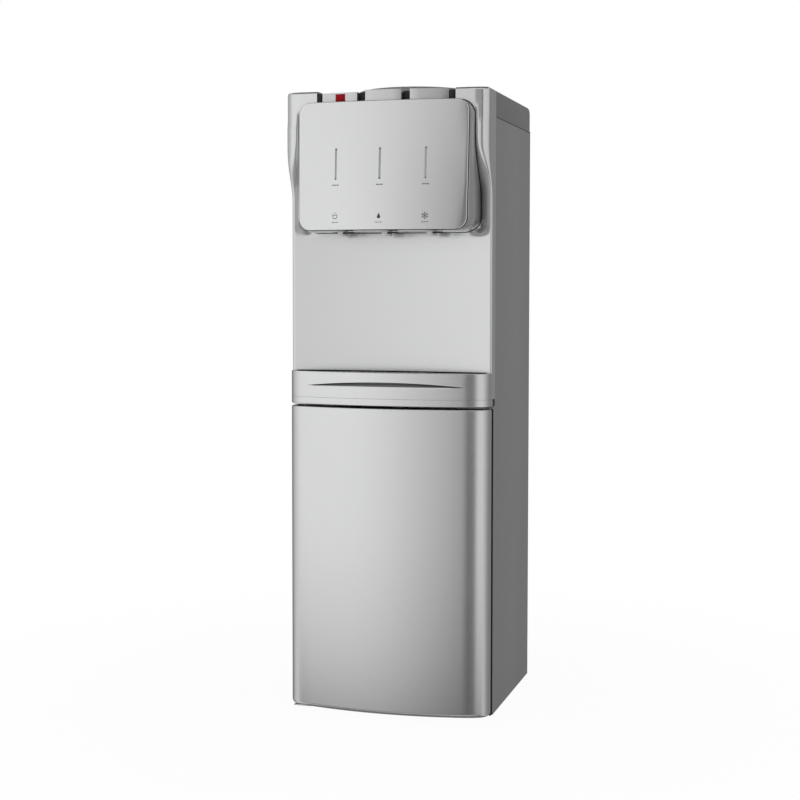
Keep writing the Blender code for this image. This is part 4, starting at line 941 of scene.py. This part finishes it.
def bowed_block(low, high, rear, low_round, high_round):
    """Solid behind the bowed front between two levels, its lower and upper front edges rounded."""
    shape = bmesh.new()
    shape.faces.new([shape.verts.new((x, y, low)) for x, y in bowed_line(rear=rear)])
    draw_out(shape, (0, 0, high - low))
    for level, radius in ((low, low_round), (high, high_round)):
        edges = [edge for edge in shape.edges
                 if all(abs(vert.co.z - level) < 0.00001 for vert in edge.verts)
                 and not all(abs(vert.co.y + rear) < 0.00001 for vert in edge.verts)]
        if radius:
            bmesh.ops.bevel(shape, geom=edges, affect="EDGES", offset=radius, segments=6,
                            profile=0.5, material=-1, clamp_overlap=False)
    return shape


def sink(shape, border, depth):
    """Inset a solid's top face by a border and push it in."""
    face = max(shape.faces, key=lambda face: face.normal.z * face.calc_area())
    bmesh.ops.inset_individual(shape, faces=[face], thickness=border, depth=0, use_even_offset=True)
    bmesh.ops.inset_individual(shape, faces=[face], thickness=0.00002, depth=-depth,
                               use_even_offset=True)


bar = bowed_block(0.460, 0.470, frame_rear, 0.0006, 0)
sink(bar, 0.0025, 0.0075)
make_piece("front_bar", bar, [silver], "cabinet", ["cross_bar"])


# Drip tray
# A drawer that slides in above the cross bar: a silver front with a crescent grip under its rim,
# a black tub behind it, and a grey grating that lifts off.

tray_top, tray_rear, tray_wall = 0.5085, 0.0118, 0.0040
grip_low, grip_half, grip_tall, grip_deep = 0.4880, 0.122, 0.0105, 0.0050


def tray_row(level, inset=0.0):
    """Row of the tray's front at a level, moved inward."""
    return [(x, y, level) for x, y in bowed_line(inset, tray_rear)]


def grip_at(x):
    """How full the crescent is at a place, and how high its roof is there."""
    swell = max(1 - (x / grip_half) ** 2, 0)
    return swell, grip_low + 0.0065 * swell


def grip_row(share):
    """Row of the tray's front across the grip, from the crescent's foot at 0 to its roof at 1."""
    row = []
    for x, y in bowed_line(0, tray_rear):
        swell, roof = grip_at(x)
        row.append((x, y + grip_deep * swell ** 0.5 * max(share, 0) ** 1.2,
                    roof - grip_tall * max(swell, 0.05) * (1 - share)))
    return row


flush = [(x, y, grip_at(x)[1] + 0.0001) for x, y in bowed_line(0, tray_rear)]
rows = [tray_row(sill), grip_row(-0.06)] + [grip_row(share / 8) for share in range(9)]
rows += [flush, tray_row(0.500), tray_row(tray_top - 0.0006), tray_row(tray_top - 0.0002, 0.0002),
         tray_row(tray_top, 0.0006), tray_row(tray_top, tray_wall - 0.0004),
         tray_row(tray_top - 0.0004, tray_wall), tray_row(sill, tray_wall)]
grip_front = skin_rows(rows)
for side in (-1, 1):
    rims = [edge for edge in grip_front.edges if edge.is_boundary
            and all(abs(vert.co.y + tray_rear) < 0.00001 and vert.co.x * side > 0.149
                    for vert in edge.verts)]
    bmesh.ops.contextual_create(grip_front, geom=rims)
foot = [edge for edge in grip_front.edges if edge.is_boundary
        and all(abs(vert.co.z - sill) < 0.00001 for vert in edge.verts)]
bmesh.ops.bridge_loops(grip_front, edges=foot)
bmesh.ops.recalc_face_normals(grip_front, faces=grip_front.faces)
# The upper half of the crescent, under the rim, takes a darker grey: painted shade in the recess under
# the lip.
for face in grip_front.faces:
    centre = face.calc_center_median()
    swell, roof = grip_at(centre.x)
    if centre.y < -0.03 and swell > 0.08 and roof - 0.0066 * swell < centre.z < roof + 0.0001:
        face.material_index = 1
grip_grey = finish_with("grip_grey", (0.11, 0.111, 0.113), 0.40, 0.60, grain=0.0010, dust=0)
make_piece("tray_front", grip_front, [silver, grip_grey], "tray", ["drip_tray"], smooth=50)
tub = block((-0.140, -0.0117, sill), (0.140, 0.060, 0.5045))
sink(tub, 0.0025, 0.0317)
make_piece("tray_tub", tub, [black_plastic], "tray")
dress("drip_grille", grey_plastic, edge=0.0003)


# Cabinet
# A white vacuum-formed liner behind the door, with a rim round its mouth and a step over the
# compressor. One shelf carries the level of the step on to the front.

liner_white = finish_with("liner_white", (0.70, 0.70, 0.69), 0.36, shift=0.02,
                          grain=0.0016, relief=0.05)
dress("cabinet_liner", liner_white, edge=0.0010)
dress("cabinet_shelf", liner_white, edge=0.0008)


# Door
# A bowed silver skin closed by a white liner, with a black magnetic gasket round its edge that
# seals on the body. It turns on the pins of two brackets at its left edge.

door_low, door_high, door_rear = 0.0015, 0.456, 0.0125
door = bowed_block(door_low, door_high, door_rear, 0.0065, 0.0020)
door = carve(door, block((-0.1524, -0.0093, 0.0096), (0.1524, 0.01, 0.4479)))
door = carve(door, block((-0.1325, -0.0285, 0.0296), (0.1325, 0.01, 0.4279)))
# The door's top face is black plastic like an end cap, which also darkens the gap below the cross bar:
# partly painted shade.
for face in door.faces:
    if face.normal.z > 0.95 and face.calc_center_median().z > door_high - 0.0005:
        face.material_index = 1
make_piece("door_front", door, [silver, black_plastic], "door", ["door_skin"])
dress("door_liner", liner_white, edge=0.0008)
gasket_rubber = finish_with("gasket_rubber", (0.020, 0.020, 0.020), 0.80, shift=0.12, grain=0.0006,
                            relief=0.10, dust=0.02, specular=0.03)
dress("door_gasket", gasket_rubber)
# Two rubber strips widen the gasket into the gap to the side panels: partly rubber lip, partly painted
# shade that darkens the gap.
lip_and_gap_shade = carve(block((-0.1540, -0.0104, 0.0075), (0.1536, -0.0006, 0.4500)),
            block((-0.1523, -0.1, 0.0094), (0.1523, 0.1, 0.4481)))
make_piece("gasket_lip_and_shade", lip_and_gap_shade, [gasket_rubber], "door")
edge_and_gap_shade = block((0.1524, -0.0124, 0.0022), (0.1545, -0.0004, 0.4555))
make_piece("gasket_edge_and_shade", edge_and_gap_shade, [gasket_rubber], "door")
for name in ("hinge_bracket_bottom", "hinge_bracket_top"):
    dress(name, silver)


# Rear
# A sheet back that ends above the open compressor bay. The black condenser, a serpentine pipe with
# wires across it, hangs on two rails, and copper pipes lead down to the compressor. Beside them
# are the drain with its cap, the two tank switches and the mains inlet.

black_paint = finish_with("black_paint", (0.016, 0.016, 0.017), 0.38, shift=0.10,
                          grain=0.0015, relief=0.06, dust=0.22)
dress("back_panel", galvanised)
dress("condenser_coil", black_paint, edge=0)
for side in ("left", "right"):
    dress("condenser_rail_" + side, black_paint)


def add_rod(shape, segments, low_radius, high_radius, length):
    """Add a short round rod or a tapered screw head along Z, and give its points."""
    return bmesh.ops.create_cone(shape, cap_ends=True, segments=segments, radius1=low_radius,
                                 radius2=high_radius, depth=length)["verts"]


wires = bmesh.new()
wire_left, wire_pitch, wire_middle = -0.1290, 0.0123, 0.580
for step in range(20):
    bmesh.ops.translate(wires, verts=add_rod(wires, 8, 0.0006, 0.0006, 0.456),
                        vec=(wire_left + wire_pitch * step, 0.2615 if step % 2 else 0.2677, wire_middle))
make_piece("condenser_wires", wires, [black_paint], "cabinet")
dress("compressor", black_paint, edge=0.0008)
terminal = block((-0.0150, 0.2300, 0.0900), (0.0230, 0.2520, 0.1300))
soften(terminal, 0.0025, 3)
make_piece("terminal_cover", terminal, [black_plastic], "cabinet")
pipe_bend = 0.012


def tube(points, radius):
    """Pipe along a chain of points, with rounded bends between its straights."""
    points = [Vector(point) for point in points]
    path = points[:1]
    for before, corner, after in zip(points, points[1:], points[2:]):
        start = corner + (before - corner).normalized() * pipe_bend
        end = corner + (after - corner).normalized() * pipe_bend
        path += [start.lerp(corner, t / 6).lerp(corner.lerp(end, t / 6), t / 6) for t in range(7)]
    path.append(points[-1])
    pipe = bmesh.new()
    loops = []
    for index, point in enumerate(path):
        along = path[min(index + 1, len(path) - 1)] - path[max(index - 1, 0)]
        made = bmesh.ops.create_circle(pipe, cap_ends=index in (0, len(path) - 1), segments=12,
                                       radius=radius)["verts"]
        bmesh.ops.rotate(pipe, verts=made, matrix=along.to_track_quat("Z", "X").to_matrix())
        bmesh.ops.translate(pipe, verts=made, vec=point)
        loops.append({edge for vert in made for edge in vert.link_edges})
    for one, other in zip(loops, loops[1:]):
        bmesh.ops.bridge_loops(pipe, edges=list(one | other))
    bmesh.ops.recalc_face_normals(pipe, faces=pipe.faces)
    return pipe


suction = tube([(0.034, 0.215, 0.165), (0.034, 0.246, 0.165), (0.034, 0.246, 0.250),
                (0.090, 0.246, 0.250), (0.090, 0.246, 0.300)], 0.0032)
make_piece("suction_pipe", suction, [copper], "cabinet")
discharge = tube([(-0.034, 0.215, 0.150), (-0.034, 0.247, 0.150), (-0.034, 0.247, 0.230),
                  (-0.120, 0.247, 0.230), (-0.120, 0.247, 0.300)], 0.0024)
make_piece("discharge_pipe", discharge, [copper], "cabinet")
screws = bmesh.new()
for x in (-0.1465, 0.1465):
    for z in (0.300, 0.445, 0.590, 0.735, 0.872):
        made = add_rod(screws, 20, 0.0034, 0.0024, 0.0014)
        bmesh.ops.rotate(screws, verts=made, matrix=Matrix.Rotation(math.radians(-90), 3, "X"))
        bmesh.ops.translate(screws, verts=made, vec=(x, 0.2541, z))
make_piece("panel_screws", screws, [stainless], "cabinet")
green_plastic = finish_with("green_plastic", (0.02, 0.22, 0.07), 0.28, shift=0.08, dust=0)
for name, material in (("drain_outlet", light_plastic), ("drain_cap", black_plastic),
                       ("switch_panel", black_plastic), ("rocker_hot", red_plastic),
                       ("rocker_cold", green_plastic), ("power_inlet", black_plastic)):
    dress(name, material)
